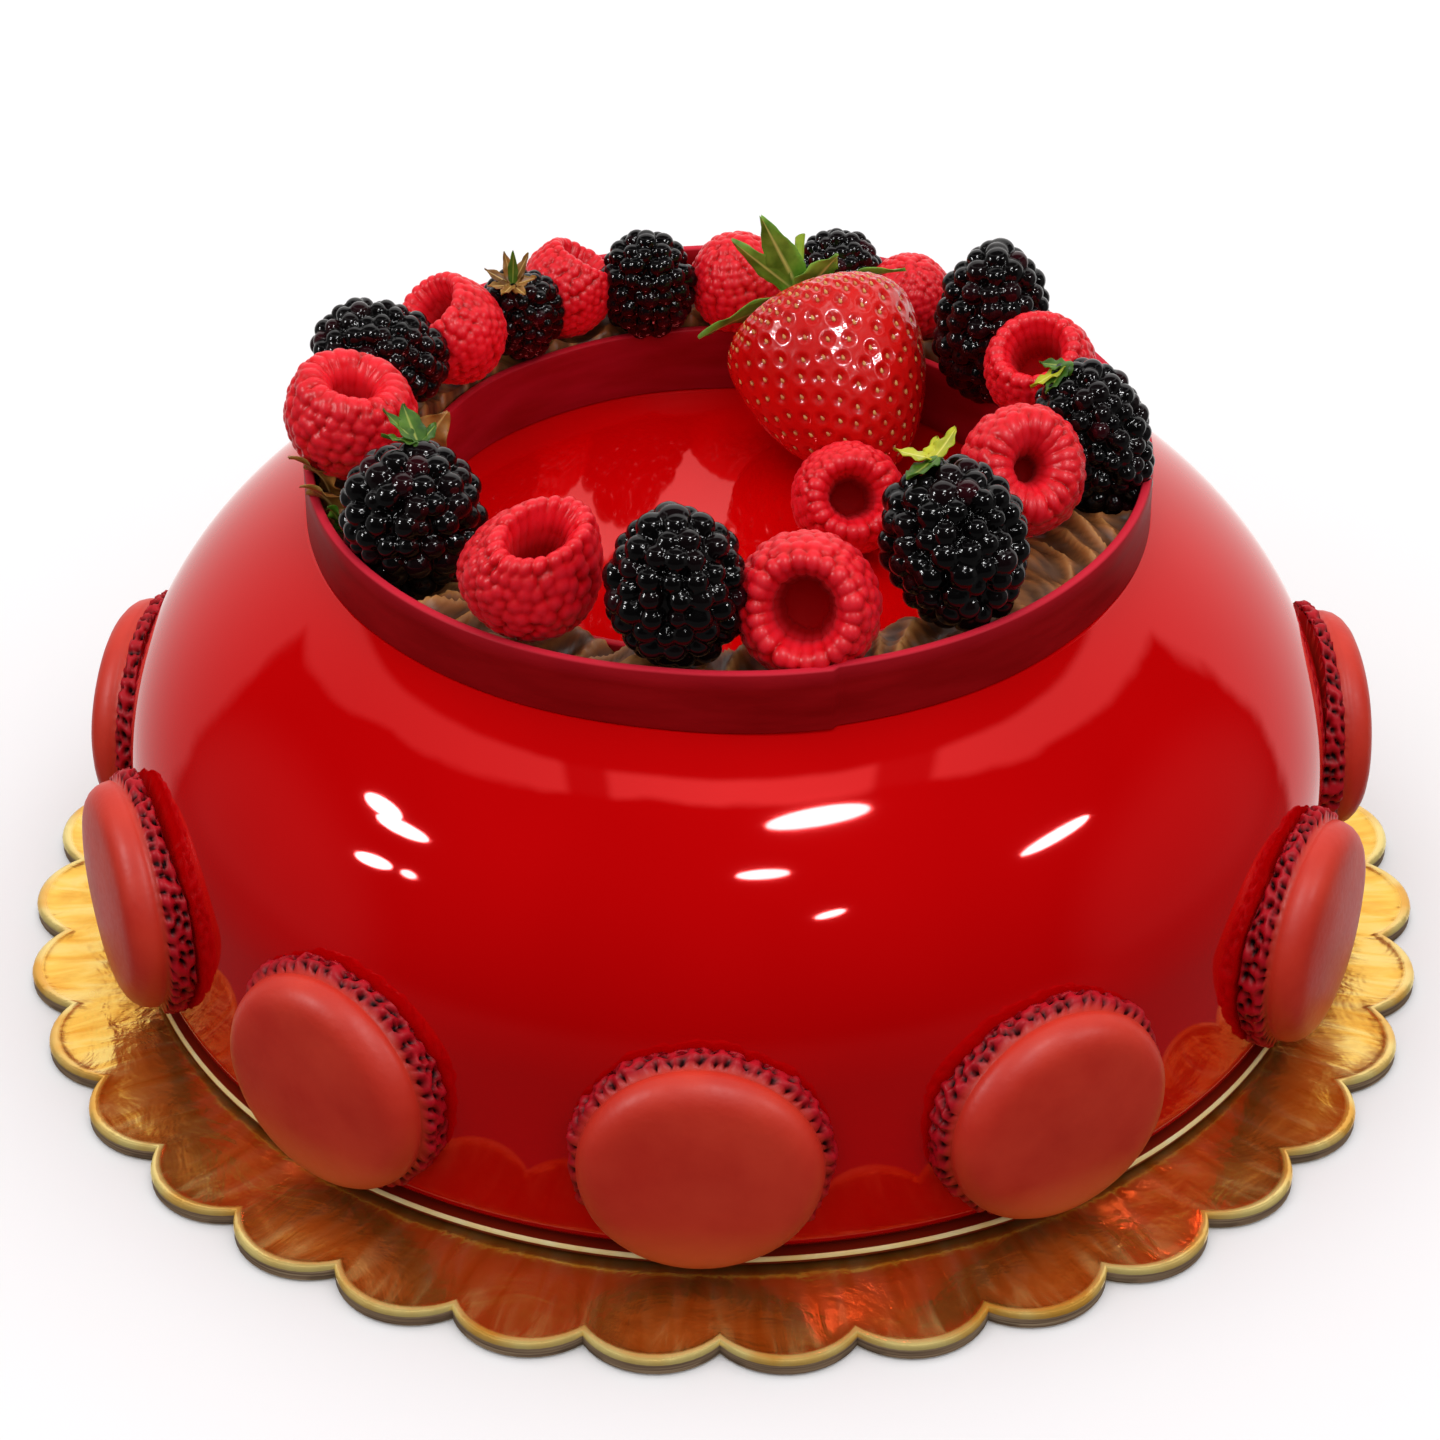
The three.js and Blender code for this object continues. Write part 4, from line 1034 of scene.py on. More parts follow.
# %% [markdown]
# ## The piped cream
#
# Brown chocolate cream was piped between the bands in a wavy rope, and the fruit was pressed into
# it. It shows only in the gaps, as soft folds. Its top is a height rule over the ring: a slow
# swell, folds that cross the ring at a slant, fine ridges from the nozzle, and a dent wherever a
# berry's underside comes lower than the cream. Sculpting it by hand would look as good, but the
# rule knows where every berry is.

# %% Cream finish
cream_finish = Finish("chocolate_cream", srgb(154, 94, 58), 0.5, ior=1.42)
cream_finish.set(subsurface_weight=0.15, subsurface_radius=(0.8, 0.45, 0.25), subsurface_scale=2 * MM)
swirl = cream_finish.noise(140, detail=3, distortion=0.8)
# The heights of the folds and ridges set the cream's colour: lighter on the crests and nearly black in the troughs,
# as painted light and painted shade.
painted_light = cream_finish.ramp(cream_finish.mark("painted_light"), (0.0, srgb(52, 22, 8)), (0.45, srgb(158, 96, 48)),
                         (1.0, srgb(206, 146, 84)))
streaked = cream_finish.patchy(swirl, srgb(124, 72, 30), srgb(190, 130, 72))
cream_finish.colour(cream_finish.mix(0.25, painted_light, streaked))
cream_finish.rough(swirl, 0.34, 0.6)
cream_finish.bump(cream_finish.noise(420, detail=3), 0.12, 0.6)
print("made", cream_finish.material.name)

# %% The cream ring
CREAM_BASE, CREAM_CROWN, CREAM_PRESS, CREAM_LEAST = 84.4, 1.6, 0.9, 0.4
CREAM_HEAPS = [(-95, 34), (80, 48)]  # where the ring is piled higher, and over how many degrees
CREAM_HEAP = 3.6
CREAM_FOLDS = [(1.1, 26, 5), (0.55, 41, -4)]  # height, folds round the ring and slant
CREAM_IN, CREAM_OUT = 53.62, 67.68
CREAM_FLOOR = SEAT + 0.3


def undersides(points):
    """Height of the lowest berry underside above each point of the ring."""
    lowest = np.full(len(points), np.inf)
    for around, out, up, wide, long, way, *_ in RASPBERRIES + BRAMBLES:
        middle, turn = berry_place(around, out, up, way)
        axis = turn[:, 2]
        dx, dy = points[:, 0] - middle[0], points[:, 1] - middle[1]
        across = 1 / (wide / 2 * (1 + EGG)) ** 2
        along = 1 / (long / 2) ** 2 - across
        lean = axis[0] * dx + axis[1] * dy
        a = across + along * axis[2] ** 2
        b = 2 * along * axis[2] * lean
        c = across * (dx**2 + dy**2) + along * lean**2 - 1
        inside = b * b - 4 * a * c
        low = middle[2] - (b + np.sqrt(np.clip(inside, 0, None))) / (2 * a)
        lowest = np.where(inside > 0, np.minimum(lowest, low), lowest)
    return lowest


CREAM_STEPS, CREAM_ROWS = 620, 28
around = np.arange(CREAM_STEPS) * 360 / CREAM_STEPS
around, share = np.meshgrid(around, np.linspace(0, 1, CREAM_ROWS), indexing="ij")
heaps = [((around - middle + 180) % 360 - 180) / spread for middle, spread in CREAM_HEAPS]
level = CREAM_BASE + sum(CREAM_HEAP * np.exp(-(away**2)) for away in heaps)
folds = sum(high * np.sin(np.radians(turns * around) + slant * share) for high, turns, slant in CREAM_FOLDS)
ridges = 0.22 * np.sin(np.radians(160 * around) + 7 * np.sin(3 * share + np.radians(4 * around)))
ribbon = np.radians(53 * around) + 9 * share + 2.5 * np.sin(np.radians(17 * around))
ribbon += 1.5 * np.sin(4 * share + np.radians(9 * around))
ridges += 0.9 * (1 - np.abs(np.sin(ribbon / 2)) ** 0.7 * 2)
level += folds + ridges - CREAM_CROWN * (2 * share - 1) ** 4
radius = CREAM_IN + (CREAM_OUT - CREAM_IN) * share
flat = direction(around.ravel()) * radius.ravel()[:, None]
pressed = undersides(flat) - CREAM_PRESS + 0.25
top = np.clip(np.minimum(level.ravel(), pressed), CREAM_FLOOR + CREAM_LEAST, None)
top = flat + np.stack([0 * top, 0 * top, top], -1)
feet = [direction(around[:, 0]) * r + [0, 0, CREAM_FLOOR] for r in (CREAM_OUT, CREAM_IN)]
columns = CREAM_ROWS + 2
points = np.concatenate([top.reshape(CREAM_STEPS, CREAM_ROWS, 3), *[f[:, None] for f in feet]], 1).reshape(-1, 3)
faces = [
    [i * columns + j, (i + 1) % CREAM_STEPS * columns + j, (i + 1) % CREAM_STEPS * columns + k, i * columns + k]
    for i in range(CREAM_STEPS) for j in range(columns) for k in [(j + 1) % columns]
]
# This mark follows the height of the folds and ridges and drives the cream's painted light and shade.
cream_painted_light = np.zeros((CREAM_STEPS, columns))
cream_painted_light[:, :CREAM_ROWS] = np.clip(0.5 + 0.15 * folds + 0.7 * ridges, 0, 1)
make_piece("piped_cream_rope", points, faces, [cream_finish], ["piped_cream"],
           marks={"painted_light": cream_painted_light.ravel()})
print("cream ring has", len(faces), "faces")

# %% [markdown]
# ## Leaves
#
# Every leaf here, from the strawberry's hull to the brambles' tiny sepals, is the same thin sheet:
# widest in its first half, pointed at the end, creased along its midrib, a little wavy at the
# edges. It is a closed sheet with two faces and a thin edge, so it holds up from every side. A
# single-sided plane with a Solidify modifier would do too, but its thickness could not taper.

# %% A leaf
LEAF_STEPS, LEAF_COLUMNS = 22, 9


def leaf_share(share):
    """Share of the full width at a share of the length."""
    turn = (0.12 + 0.86 * share) ** 0.85
    return np.maximum(0.05, np.sin(math.pi * turn))


def leaf_sheet(long, wide, height, thick=0.5, ripple=0.35, waves=5, crease=0.5, steps=LEAF_STEPS, teeth=0.0):
    """Points and faces of a leaf along +X; height gives its rise at each place along it."""
    share = np.linspace(0, 1, steps)[:, None]
    side = np.linspace(-1, 1, LEAF_COLUMNS)[None]
    edge = np.abs(side)
    half = wide / 2 * leaf_share(share) * (1 + teeth * np.sin(share * 40))
    wave = ripple * np.sin(waves * share * math.pi) * side
    z = height(share * long) + edge * (crease + wave) + 0.08 * np.sin(share * 34 - edge * 7) * edge
    x = share * long - 0.06 * long * edge * share * (1 - share)
    taper = thick * (1 - 0.6 * edge**2) * (1 - 0.5 * share)
    sheets = [np.stack([x + 0 * side, side * half, z + lift], -1) for lift in (0 * taper, taper)]
    count = steps * LEAF_COLUMNS
    points = np.concatenate([s.reshape(-1, 3) for s in sheets])
    faces = grid_faces(steps, LEAF_COLUMNS, ring=False)
    faces += [f[::-1] for f in grid_faces(steps, LEAF_COLUMNS, ring=False, first=count)]
    border = [i * LEAF_COLUMNS for i in range(steps)]
    border += [(steps - 1) * LEAF_COLUMNS + j for j in range(1, LEAF_COLUMNS)]
    border += [i * LEAF_COLUMNS - 1 for i in range(steps - 1, 0, -1)] + list(range(LEAF_COLUMNS - 2, 0, -1))
    for a, b in zip(border, border[1:] + border[:1]):
        faces.append([a, b, b + count, a + count])
    vein = np.broadcast_to(1 - edge, (steps, LEAF_COLUMNS)).ravel()
    return points, faces, np.tile(vein, 2)


def joined(parts):
    """Several (points, faces, mark) parts as one."""
    points, faces, marks, first = [], [], [], 0
    for p, f, m in parts:
        points.append(p)
        faces += [[v + first for v in face] for face in f]
        marks.append(m)
        first += len(p)
    return np.vstack(points), faces, np.concatenate(marks)


def swung(points, degrees, first=0, second=1):
    """Points turned in the plane of two axes, from the first towards the second."""
    turn = np.eye(3)
    turn[first, first] = turn[second, second] = math.cos(math.radians(degrees))
    turn[first, second] = math.sin(math.radians(degrees))
    turn[second, first] = -turn[first, second]
    return points @ turn


print("a leaf is", LEAF_STEPS, "by", LEAF_COLUMNS, "points on either side")

# %% Leaf finishes
def leaf_finish(name, dark, green, rib):
    made = Finish(name, green, 0.42, ior=1.42)
    made.set(subsurface_weight=0.1, subsurface_radius=(0.3, 1.0, 0.2), subsurface_scale=0.6 * MM)
    patch = made.patchy(made.noise(260, detail=3), dark, green)
    made.colour(made.mix(made.ramp(made.mark("vein"), (0.84, (0, 0, 0)), (0.98, (1, 1, 1))), patch, rib))
    made.rough(made.noise(500), 0.3, 0.5)
    made.bump(made.noise(700, detail=3), 0.12, 0.6)
    return made


hull_green = leaf_finish("hull_green", srgb(76, 128, 28), srgb(142, 190, 66), srgb(206, 222, 120))
sepal_green = leaf_finish("sepal_green", srgb(40, 84, 10), srgb(92, 134, 28), srgb(150, 164, 70))
bright_green = leaf_finish("bright_calyx", srgb(140, 150, 10), srgb(206, 204, 30), srgb(230, 226, 110))
dry_brown = leaf_finish("dry_leaf", srgb(110, 70, 20), srgb(190, 136, 66), srgb(222, 184, 112))
print("leaf finishes:", [made.material.name for made in (hull_green, sepal_green, bright_green, dry_brown)])

# %% [markdown]
# ## The strawberry
#
# A strawberry's seeds sit on its skin, each in its own small pit, in spirals that wind round the
# fruit. The golden angle places them evenly, as on the real plant. The skin swells between the
# pits. It has a wet shine, so the skin gets a clear coat. The seeds are a second mesh of small
# pointed grains, one for each pit. A texture could draw pits and seeds, but the highlights of a
# real strawberry break up at every pit, and for that the surface itself has to be dented.

# %% Strawberry frame and shape
BERRY_PLACE = np.array([15.7, 33.8, 90.5])
BERRY_AXIS = Vector((-0.365, 0.741, 0.559)).normalized()
BERRY_RADIUS, BERRY_TIP, BERRY_CAP, BERRY_DIP = 16.4, 27.5, 7.4, 0.6
TIP_TAPER, CAP_TAPER = 1.25, 0.8

sideways = (Vector((1, 0, 0)) - BERRY_AXIS * BERRY_AXIS.x).normalized()
downwards = BERRY_AXIS.cross(sideways)
STRAWBERRY_TURN = np.array([sideways, downwards, BERRY_AXIS]).T


def on_cake(points):
    """Points of the strawberry's own frame, where +Z is its stem end, moved to their place."""
    return points @ STRAWBERRY_TURN.T + BERRY_PLACE


def strawberry_surface(directions):
    """Points of the smooth fruit for directions from its middle."""
    polar = np.arccos(np.clip(-directions[:, 2], -1, 1))
    sine = np.clip(np.sin(polar), 0, None)
    low = polar < math.pi / 2
    across = BERRY_RADIUS * np.where(low, sine**TIP_TAPER, sine**CAP_TAPER)
    high = -np.cos(polar) * np.where(low, BERRY_TIP, BERRY_CAP)
    high -= BERRY_DIP * np.exp(-((across / 3) ** 2)) * ~low
    turn = np.arctan2(directions[:, 1], directions[:, 0])
    across = across * (1 + 0.018 * np.sin(2 * turn + 1) + 0.012 * np.sin(3 * turn))
    return np.stack([across * np.cos(turn), across * np.sin(turn), high], -1)


PITS = 430
PIT_WIDE, PIT_DEEP, PIT_RIM = 0.9, 0.44, 0.1
SWELL_OUT, SWELL_WIDE = 1.45, 0.4  # where the skin swells round a pit, in mm from its middle
HEART = np.array([0, 0, -4])  # the pits point at this place inside the fruit

golden = math.pi * (3 - math.sqrt(5))
order = np.arange(PITS)
rise = -1 + 2 * (order + 0.5) / PITS
out = np.sqrt(1 - rise**2)
pit_ways = np.stack([out * np.cos(golden * order), out * np.sin(golden * order), rise], -1)
pit_ways = pit_ways[rise < 0.86]
pit_ways += luck.normal(0, 0.009, pit_ways.shape)
pit_ways /= np.linalg.norm(pit_ways, axis=1, keepdims=True)
pit_spots = strawberry_surface(pit_ways)

skin_ball, skin_faces = ball(7)
skin_points = strawberry_surface(skin_ball)
nearest = np.full(len(skin_points), np.inf)
for spot in pit_spots:
    nearest = np.minimum(nearest, np.linalg.norm(skin_points - spot, axis=1))
pit = np.exp(-((nearest / PIT_WIDE) ** 2))
raised = np.exp(-(((nearest - SWELL_OUT) / SWELL_WIDE) ** 2)) * PIT_RIM / PIT_DEEP
lengths = np.linalg.norm(skin_points - HEART, axis=1, keepdims=True)
skin_points = skin_points - (skin_points - HEART) / lengths * (PIT_DEEP * (pit - raised))[:, None]
print(len(pit_ways), "seeds on the strawberry")

# %% Strawberry skin and seeds
strawberry_skin = Finish("strawberry_skin", srgb(222, 20, 20), 0.24, ior=1.45, specular_ior_level=0.4)
strawberry_skin.set(subsurface_weight=0.2, subsurface_radius=(1.0, 0.15, 0.08), subsurface_scale=2.5 * MM)
strawberry_skin.set(coat_weight=0.8, coat_roughness=0.06)
flush = strawberry_skin.patchy(strawberry_skin.noise(60, detail=3), srgb(206, 6, 8), srgb(232, 22, 18))
near_cap = strawberry_skin.mix(strawberry_skin.mark("pale"), flush, srgb(232, 100, 84))
# The pits are painted a darker red, a painted shade in the hollows.
strawberry_skin.colour(strawberry_skin.mix(strawberry_skin.mark("pit"), near_cap, srgb(176, 4, 8)))
strawberry_skin.rough(strawberry_skin.noise(400), 0.16, 0.32)
strawberry_skin.bump(strawberry_skin.noise(900, detail=2), 0.05, 0.4)

seed_finish = Finish("strawberry_seed", srgb(222, 176, 88), 0.35)
seed_finish.colour(seed_finish.ramp(seed_finish.noise(300), (0.35, srgb(206, 112, 52)), (0.7, srgb(232, 184, 104))))
seed_finish.bump(seed_finish.noise(1500), 0.03)

pale = np.clip((skin_points[:, 2] - 4.5) / 4, 0, 0.5)
make_piece("strawberry_flesh", on_cake(skin_points), skin_faces, [strawberry_skin], ["strawberry"],
           marks={"pit": pit * 0.7, "pale": pale})

grain, grain_faces = ball(2)
SEED_LONG = 0.5
grain = grain * [0.3, 0.22, SEED_LONG]
grain[:, :2] *= 1 - 0.35 * grain[:, 2:] / SEED_LONG
parts = []
for way, spot in zip(pit_ways, pit_spots):
    outward = Vector(way * [1 / BERRY_RADIUS, 1 / BERRY_RADIUS, 1 / BERRY_TIP]).normalized()
    along = (Vector((0, 0, 1)) - outward * outward.z).normalized()
    basis = np.array([along.cross(outward), outward, along]).T
    middle = spot - np.array(outward) * (PIT_DEEP - 0.1)
    parts.append((grain @ basis.T + middle, grain_faces, np.ones(len(grain))))
points, faces, _ = joined(parts)
make_piece("strawberry_seeds", on_cake(points), faces, [seed_finish])
print("strawberry of", len(skin_faces), "faces, and seeds of", len(grain_faces), "each")

# %% [markdown]
# ## The strawberry's hull
#
# The green star on top is the calyx: thin pointed leaves round a short stem. Two of them stand up
# and the others droop over the shoulder of the fruit. Each leaf follows a height rule: it rises or
# droops from the root, but never sinks into the fruit. The stem is a tube that bends as it rises.
# A cloth run could drape the leaves, but a rule lets each one point where the real one does.

# %% The hull
HULL_LEAVES = [
    # around, long, wide, lift, bend
    (104, 17, 6.0, 0.5, 0.5),
    (127, 16, 4.4, 0.5, 0.4),
    (172, 20, 6.4, 0.02, -2.5),
    (208, 12, 5, 0.02, -1),
    (48, 10.5, 8.5, 0.22, -0.8),
    (8, 18, 5.4, 0.02, -3.5),
    (-28, 12, 5, 0.04, -1),
]
SHOULDER_ROUND = 2.6
LEAF_OFF = 0.48  # how far the leaves stay off the fruit
STEM_ROWS, STEM_SIDES = 18, 20
STEM_RADIUS, STEM_LONG, STEM_LEAN, STEM_ASIDE = 0.85, 9.5, 0.35, 3.2


def shoulder_height(across):
    share = np.minimum(1, across / BERRY_RADIUS)
    return BERRY_CAP * (1 - share**2) ** (1 / SHOULDER_ROUND)


def hull_rule(long, lift, bend):
    def height(along):
        share = along / long
        free = BERRY_CAP + LEAF_OFF + lift * along + bend * share**2
        return np.maximum(free, shoulder_height(along) + LEAF_OFF + 0.4 * share)
    return height


parts = []
for around_leaf, long, wide, lift, bend in HULL_LEAVES:
    p, f, m = leaf_sheet(long, wide, hull_rule(long, lift, bend), teeth=0.03)
    parts.append((swung(p, -around_leaf), f, m))
points, faces, vein = joined(parts)
make_piece("strawberry_hull_leaves", on_cake(points), faces, [hull_green], ["strawberry_hull"],
           marks={"vein": vein})

stem_green = leaf_finish("stem_green", srgb(120, 160, 30), srgb(182, 206, 62), srgb(200, 210, 110))
turns = np.arange(STEM_SIDES) * TAU / STEM_SIDES
rows = []
for rise in np.linspace(0, 1, STEM_ROWS):
    radius = STEM_RADIUS * (1 + 0.5 * (1 - rise) ** 3 + 0.12 * rise**6)
    x = radius * np.cos(turns) + STEM_ASIDE * rise**1.5
    y = radius * np.sin(turns) - STEM_LEAN * STEM_LONG * rise**2
    rows.append(np.stack([x, y, 0 * turns], -1) + [0, 0, BERRY_CAP - 0.2 + (STEM_LONG + 0.4) * rise])
ends = [[0, 0, BERRY_CAP - 0.2], [STEM_ASIDE, -STEM_LEAN * STEM_LONG, BERRY_CAP + STEM_LONG - 0.1]]
points = np.vstack([*rows, ends])
faces = grid_faces(STEM_ROWS, STEM_SIDES)
faces += end_faces(len(points) - 2, (STEM_ROWS - 1) * STEM_SIDES, STEM_SIDES)
make_piece("strawberry_stem", on_cake(points), faces, [stem_green],
           marks={"vein": np.zeros(len(points))}, sharp=50)
print(len(HULL_LEAVES), "leaves on the hull")

# %% [markdown]
# ## The brambles' sepals
#
# Some brambles kept sepals at their stem end, in different states: fresh and upright, dried to a
# golden star, or limp and hanging down. They are short leaves on a button, listed one by one, as
# the picture shows them. One star of leaves could serve for all, but no two fruits wilt alike.

# %% Sepals
DRY_STAR = [(51 * i, 4.3 + 0.8 * (i % 2), 2.0, 0.3 + 0.25 * (i % 3), dry_brown) for i in range(7)]
SEPALS = {  # for each bramble: around (90 is the back), long, wide, rise for each mm, finish
    2: [(118, 6.4, 4.6, 0.6, sepal_green), (155, 6.6, 3, 0.55, sepal_green), (60, 5, 3, 0.3, sepal_green),
        (195, 6, 2.4, 0.15, sepal_green)],
    3: [*DRY_STAR, (75, 3.4, 1.8, 1.4, sepal_green)],
    7: [(196, 6.6, 3.4, -0.2, bright_green), (226, 6, 3.4, -0.35, sepal_green), (150, 4.6, 3, 0.1, sepal_green)],
    8: [(40, 5.6, 4.8, 0.5, bright_green), (76, 4.6, 4, 0.4, bright_green), (160, 6, 4.8, 0.35, bright_green),
        (232, 7.4, 5.2, -0.2, sepal_green)],
}

for number, sepals in SEPALS.items():
    around, out, up, _, long, way = BRAMBLES[number - 1]
    middle, turn = berry_place(around, out, up, way)
    shades = list(dict.fromkeys(finish for *_, finish in sepals))
    parts, which = [], []
    for around_leaf, size, leaf_wide, rise, finish in sepals:
        height = lambda along, s=size, r=rise: long / 2 - 0.5 + along * r + 0.6 * (along / s) ** 2
        p, f, m = leaf_sheet(size, leaf_wide, height, thick=0.45, ripple=0.3, crease=0.45, steps=12)
        parts.append((swung(p, around_leaf), f, m))
        which += [shades.index(finish)] * len(f)
    button, button_faces = turned([(0, long / 2 - 1.6), (1.5, long / 2 - 1.5), (1.7, long / 2 - 0.8), (1.2, long / 2),
                                   (0.5, long / 2 + 0.3), (0, long / 2 + 0.2)], 16)
    parts.append((button, button_faces, np.zeros(len(button))))
    which += [len(shades) - 1] * len(button_faces)
    points, faces, vein = joined(parts)
    make_piece(f"bramble_{number}_sepals", points @ turn.T + middle, faces, shades, which=which,
               marks={"vein": vein})
print(len(SEPALS), "brambles with sepals")

# %% [markdown]
# ## Dry leaves
#
# At the left, two dry leaves stand in the cream and droop over the outer band, with a small green
# one beside them. Another dry one curls up behind the fruit at the inner band. They are the same
# sheet as the other leaves, twisted, set up steeply and turned to their place on the ring. A scan
# of a real dry leaf would have more wrinkles, but at this size only the droop shows.

# %% Dry leaves
DRY_LEAVES = [  # around, out, up, long, wide, steep, droop, twist, finish
    (-74.5, 65.6, 85.5, 10, 7.5, 80, 6, 40, dry_brown),
    (-80.5, 65.6, 85.5, 11, 6, 82, 6.5, 35, dry_brown),
    (-70, 65.8, 85.5, 7, 3.6, 84, 3, 45, sepal_green),
    (-90, 53, 85, 11.5, 8, 125, -1.5, 72, dry_brown),
]
for number, (around, out, up, long, wide, steep, droop, twist, finish) in enumerate(DRY_LEAVES, 1):
    p, f, m = leaf_sheet(long, wide, lambda along: -droop * (along / long) ** 2, ripple=0.8)
    p = swung(swung(p, twist, 1, 2), steep, 0, 2)
    p = swung(p + [out, 0, up], around - 90)
    make_piece(f"dry_leaf_{number}", p, f, [finish], marks={"vein": m})
print(len(DRY_LEAVES), "leaves in the cream")

# %% [markdown]
# ## Macaron shells
#
# Half a macaron is a smooth, slightly domed disc on a ruffled foot, the lace that rises while it
# bakes. Each shell leans on the glaze with its foot to the cake. Its skin is matt with a faint
# sheen and very fine grain. The foot is deeply pitted, with rows of dark slits, so it is
# modelled: the section is turned in fine steps and the foot's radius is pushed in by a pattern of
# cells. The back is hollowed to the cake's wall. A noise displacement would pit the foot as well,
# but its pits would not run in rows.

# %% Macaron finish
macaron_finish = Finish("macaron_shell", srgb(214, 48, 32), 0.45, ior=1.42)
grain_noise = macaron_finish.noise(900, detail=4)
baked = macaron_finish.patchy(macaron_finish.noise(90, detail=3), srgb(208, 44, 29), srgb(222, 60, 40))
# The lower part of each shell is painted a lighter orange: painted light bounced up from the gold board.
painted_gold_bounce = macaron_finish.mix(macaron_finish.mark("painted_gold_bounce"), baked, srgb(234, 112, 56))
slit, on_foot = macaron_finish.mark("pit"), macaron_finish.mark("foot")
# The foot's crimson is painted almost black deep in the slits, a painted shade.
foot_colour_with_slit_shade = macaron_finish.ramp(slit, (0.0, srgb(190, 16, 34)), (0.4, srgb(146, 6, 18)), (0.75, srgb(42, 1, 4)),
                                  (1.0, srgb(8, 0, 0)))
macaron_finish.colour(macaron_finish.mix(on_foot, painted_gold_bounce, foot_colour_with_slit_shade))
dull = macaron_finish.calc("MAXIMUM", slit, macaron_finish.calc("MULTIPLY", on_foot, 0.5))
macaron_finish.wire("Specular IOR Level", macaron_finish.span(dull, 0.42, 0))
macaron_finish.rough(grain_noise, 0.34, 0.52)
macaron_finish.bump(grain_noise, 0.08, 0.6)
print("made", macaron_finish.material.name)

# %% Macaron shells
SHELL_FOOT, SHELL_DOME, FOOT_HIGH, SHELL_HIGH = 20.3, 18.8, 4.4, 11.3
BACK_HIGH = 0.1  # whatever lies lower than this on the shell's own axis is its back
SHELLS = [(-2.4, 22.8), (29, 22.7), (64.9, 22.7), (98, 25), (131, 23), (163.5, 23.6), (196, 22.8), (228, 23.2),
          (258, 22.7), (291, 25), (323.5, 23.4)]
SHELL_BACK = math.sqrt((CAKE_RADIUS + 0.3) ** 2 - SHELL_FOOT**2)
SHELL_STEPS = 252

back_line = [(0, 0), (SHELL_FOOT * 0.4, 0), (SHELL_FOOT * 0.75, 0)]
foot_side = [(SHELL_FOOT - 0.35, 0.15), *[(SHELL_FOOT, h) for h in np.linspace(0.6, 3.6, 9)], (SHELL_FOOT - 0.4, 4.2)]
dome_side = smooth_curve([
    (SHELL_DOME - 0.5, 4.5), (SHELL_DOME + 0.15, 5.2), (SHELL_DOME + 0.1, 6.4), (SHELL_DOME * 0.975, 8.0),
    (SHELL_DOME * 0.9, 9.4), (SHELL_DOME * 0.78, 10.2), (SHELL_DOME * 0.5, 10.9), (SHELL_DOME * 0.25, 11.2),
    (1.2, SHELL_HIGH),
], 19)
shell_line = [*back_line, *foot_side, *[tuple(p) for p in dome_side], (0, SHELL_HIGH)]
shell_points, shell_faces = turned(shell_line, SHELL_STEPS)
row_high = np.append(np.repeat([h for _, h in shell_line[1:-1]], SHELL_STEPS), [0, SHELL_HIGH])
row_out = np.append(np.repeat([r for r, _ in shell_line[1:-1]], SHELL_STEPS), [0, 0])
in_foot = (row_high > BACK_HIGH) & (row_high < 4.25) & (row_out > SHELL_DOME)


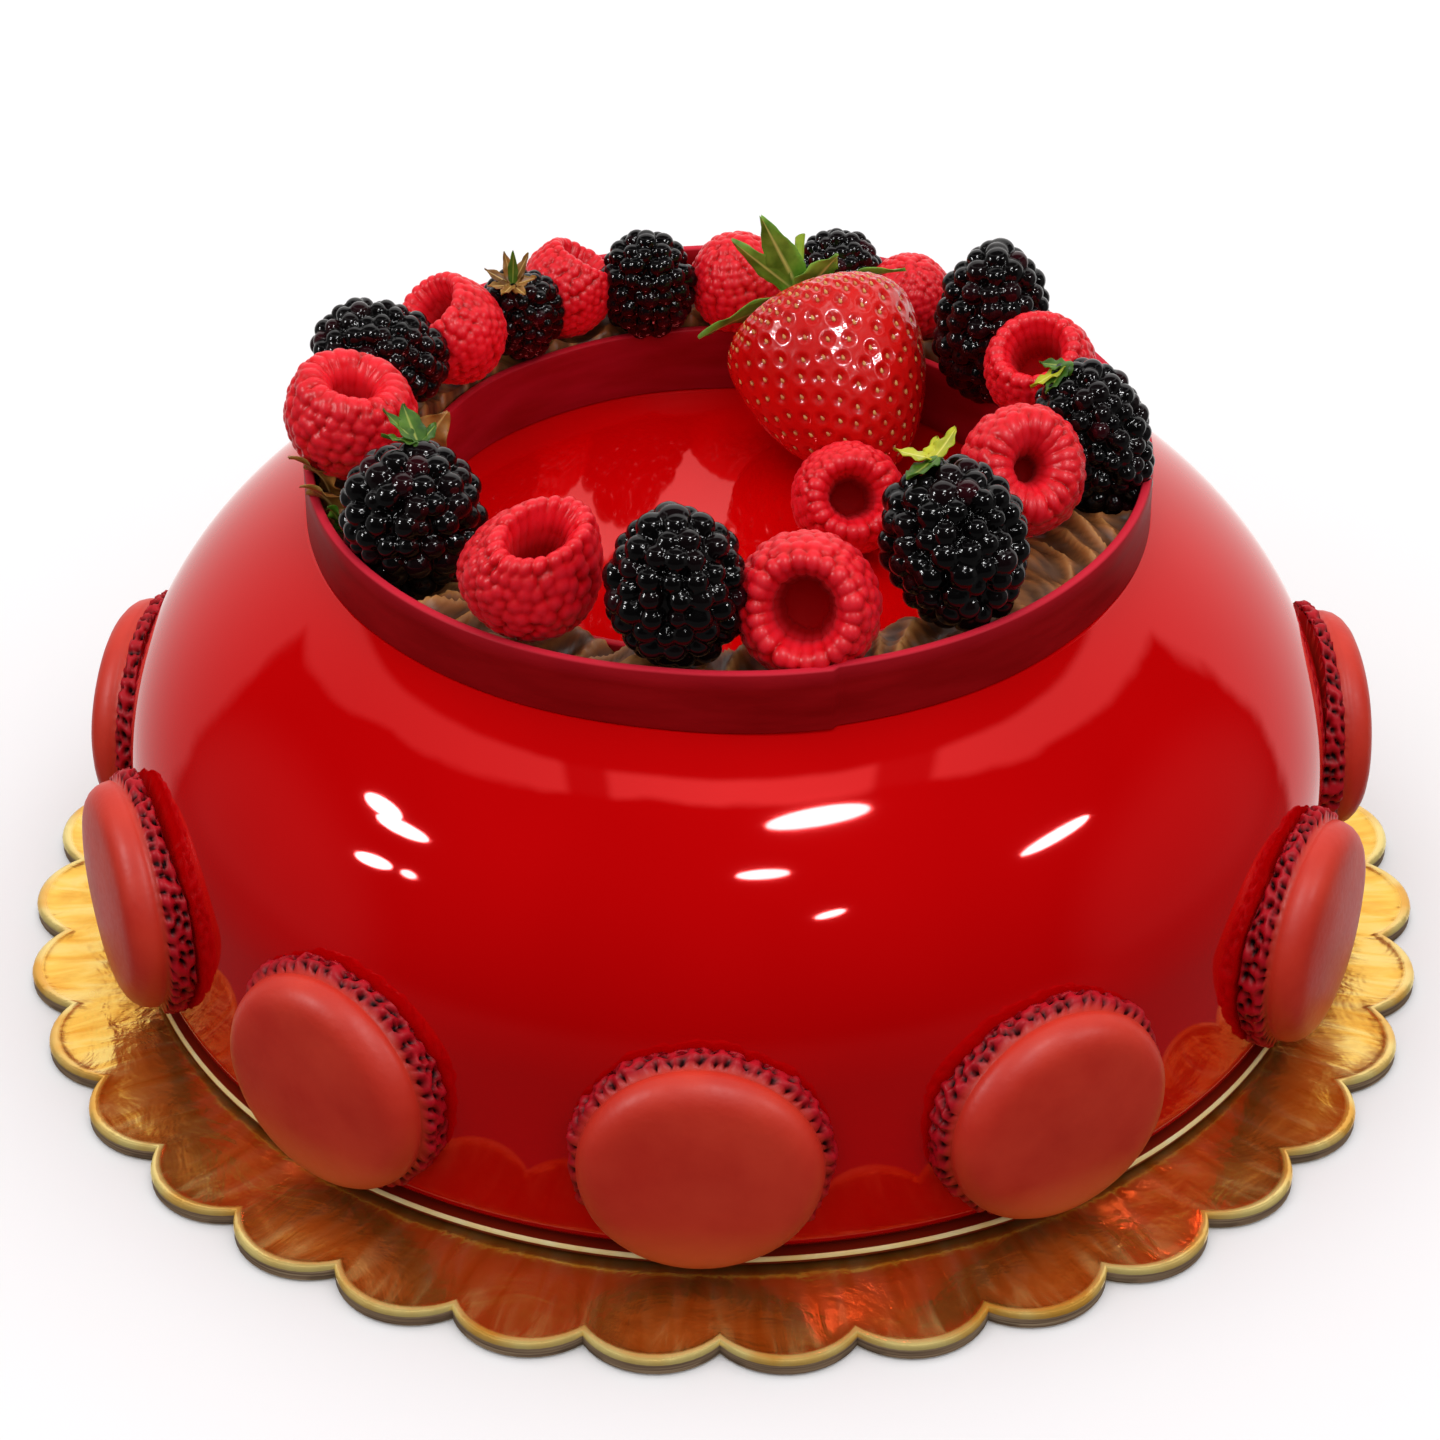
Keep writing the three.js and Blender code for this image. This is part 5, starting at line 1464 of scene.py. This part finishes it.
def foot_pits(turns, high, seed):
    """Depth from 0 to 1 of the foot's slits: staggered rows of cells with uneven sizes."""
    lucky = np.random.default_rng(seed)
    depth = np.zeros_like(turns)
    for row, (middle, tall, number) in enumerate([(1.0, 0.62, 46), (2.4, 0.6, 49), (3.9, 0.55, 52)]):
        at = (np.arange(number) + lucky.uniform(-0.24, 0.24, number)) * TAU / number + row * 0.06
        wide = TAU / number * lucky.uniform(0.2, 0.42, number)
        heights = middle + lucky.normal(0, 0.2, number)
        slant = lucky.normal(0, 0.5, number)
        off = ((turns[:, None] - at[None] + math.pi) % TAU - math.pi) / wide[None]
        slope = (high[:, None] - heights[None]) / tall
        depth = np.maximum(depth, np.exp(-((off - slant[None] * slope) ** 2) * 1.6 - np.abs(slope) ** 3).max(1))
    return depth


for number, (around, up) in enumerate(SHELLS, 1):
    p = shell_points.copy()
    turns = np.arctan2(p[:, 1], p[:, 0])
    pits = np.zeros(len(p))
    pits[in_foot] = foot_pits(turns[in_foot], row_high[in_foot], number)
    lumps = 0.22 * np.sin(9 * turns + number) + 0.16 * np.sin(23 * turns + 2 * number) + 0.1 * np.sin(41 * turns)
    push = np.where(in_foot, lumps + 0.2 - 1.3 * pits, 0)
    oval = 0.18 * np.sin(2 * turns + number) + 0.1 * np.sin(3 * turns + 2 * number)
    push += oval * np.clip(row_out / SHELL_DOME, 0, 1)
    out = np.maximum(np.hypot(p[:, 0], p[:, 1]), 1e-6)
    p[:, :2] *= (1 + push / out)[:, None]
    p[:, 2] += 0.1 * np.sin(p[:, 0] / 4 + number) * np.sin(p[:, 1] / 5) * (row_high > 8)
    back = row_high < BACK_HIGH
    low_rim = (row_high < 1.5) & in_foot
    wall = CAKE_RADIUS + 0.42
    hollow = np.sqrt(wall**2 - p[:, 0] ** 2) - SHELL_BACK
    p[:, 2] = np.where(back, hollow, np.where(low_rim, np.maximum(p[:, 2], hollow + 0.15), p[:, 2]))
    stood = np.stack([p[:, 0], -p[:, 2] - SHELL_BACK, p[:, 1] + up], -1)
    # This share of the painted bounce light grows towards the shell's lower edge.
    painted_gold_bounce = np.clip(-p[:, 1] / SHELL_DOME - 0.4, 0, 1) * 1.3
    foot = (row_high > BACK_HIGH) & (row_high < FOOT_HIGH)
    marks = {"pit": pits, "foot": foot, "painted_gold_bounce": np.clip(painted_gold_bounce, 0, 0.8)}
    make_piece(f"macaron_half_{number}", swung(stood, around), shell_faces, [macaron_finish],
               [f"macaron_shell_{number}"], marks=marks)
print(len(SHELLS), "macaron shells of", len(shell_faces), "faces each")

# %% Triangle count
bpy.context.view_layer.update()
meshes = [piece.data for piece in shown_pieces() if piece.type == "MESH"]
print("triangles:", sum(len(face.vertices) - 2 for mesh in meshes for face in mesh.polygons))
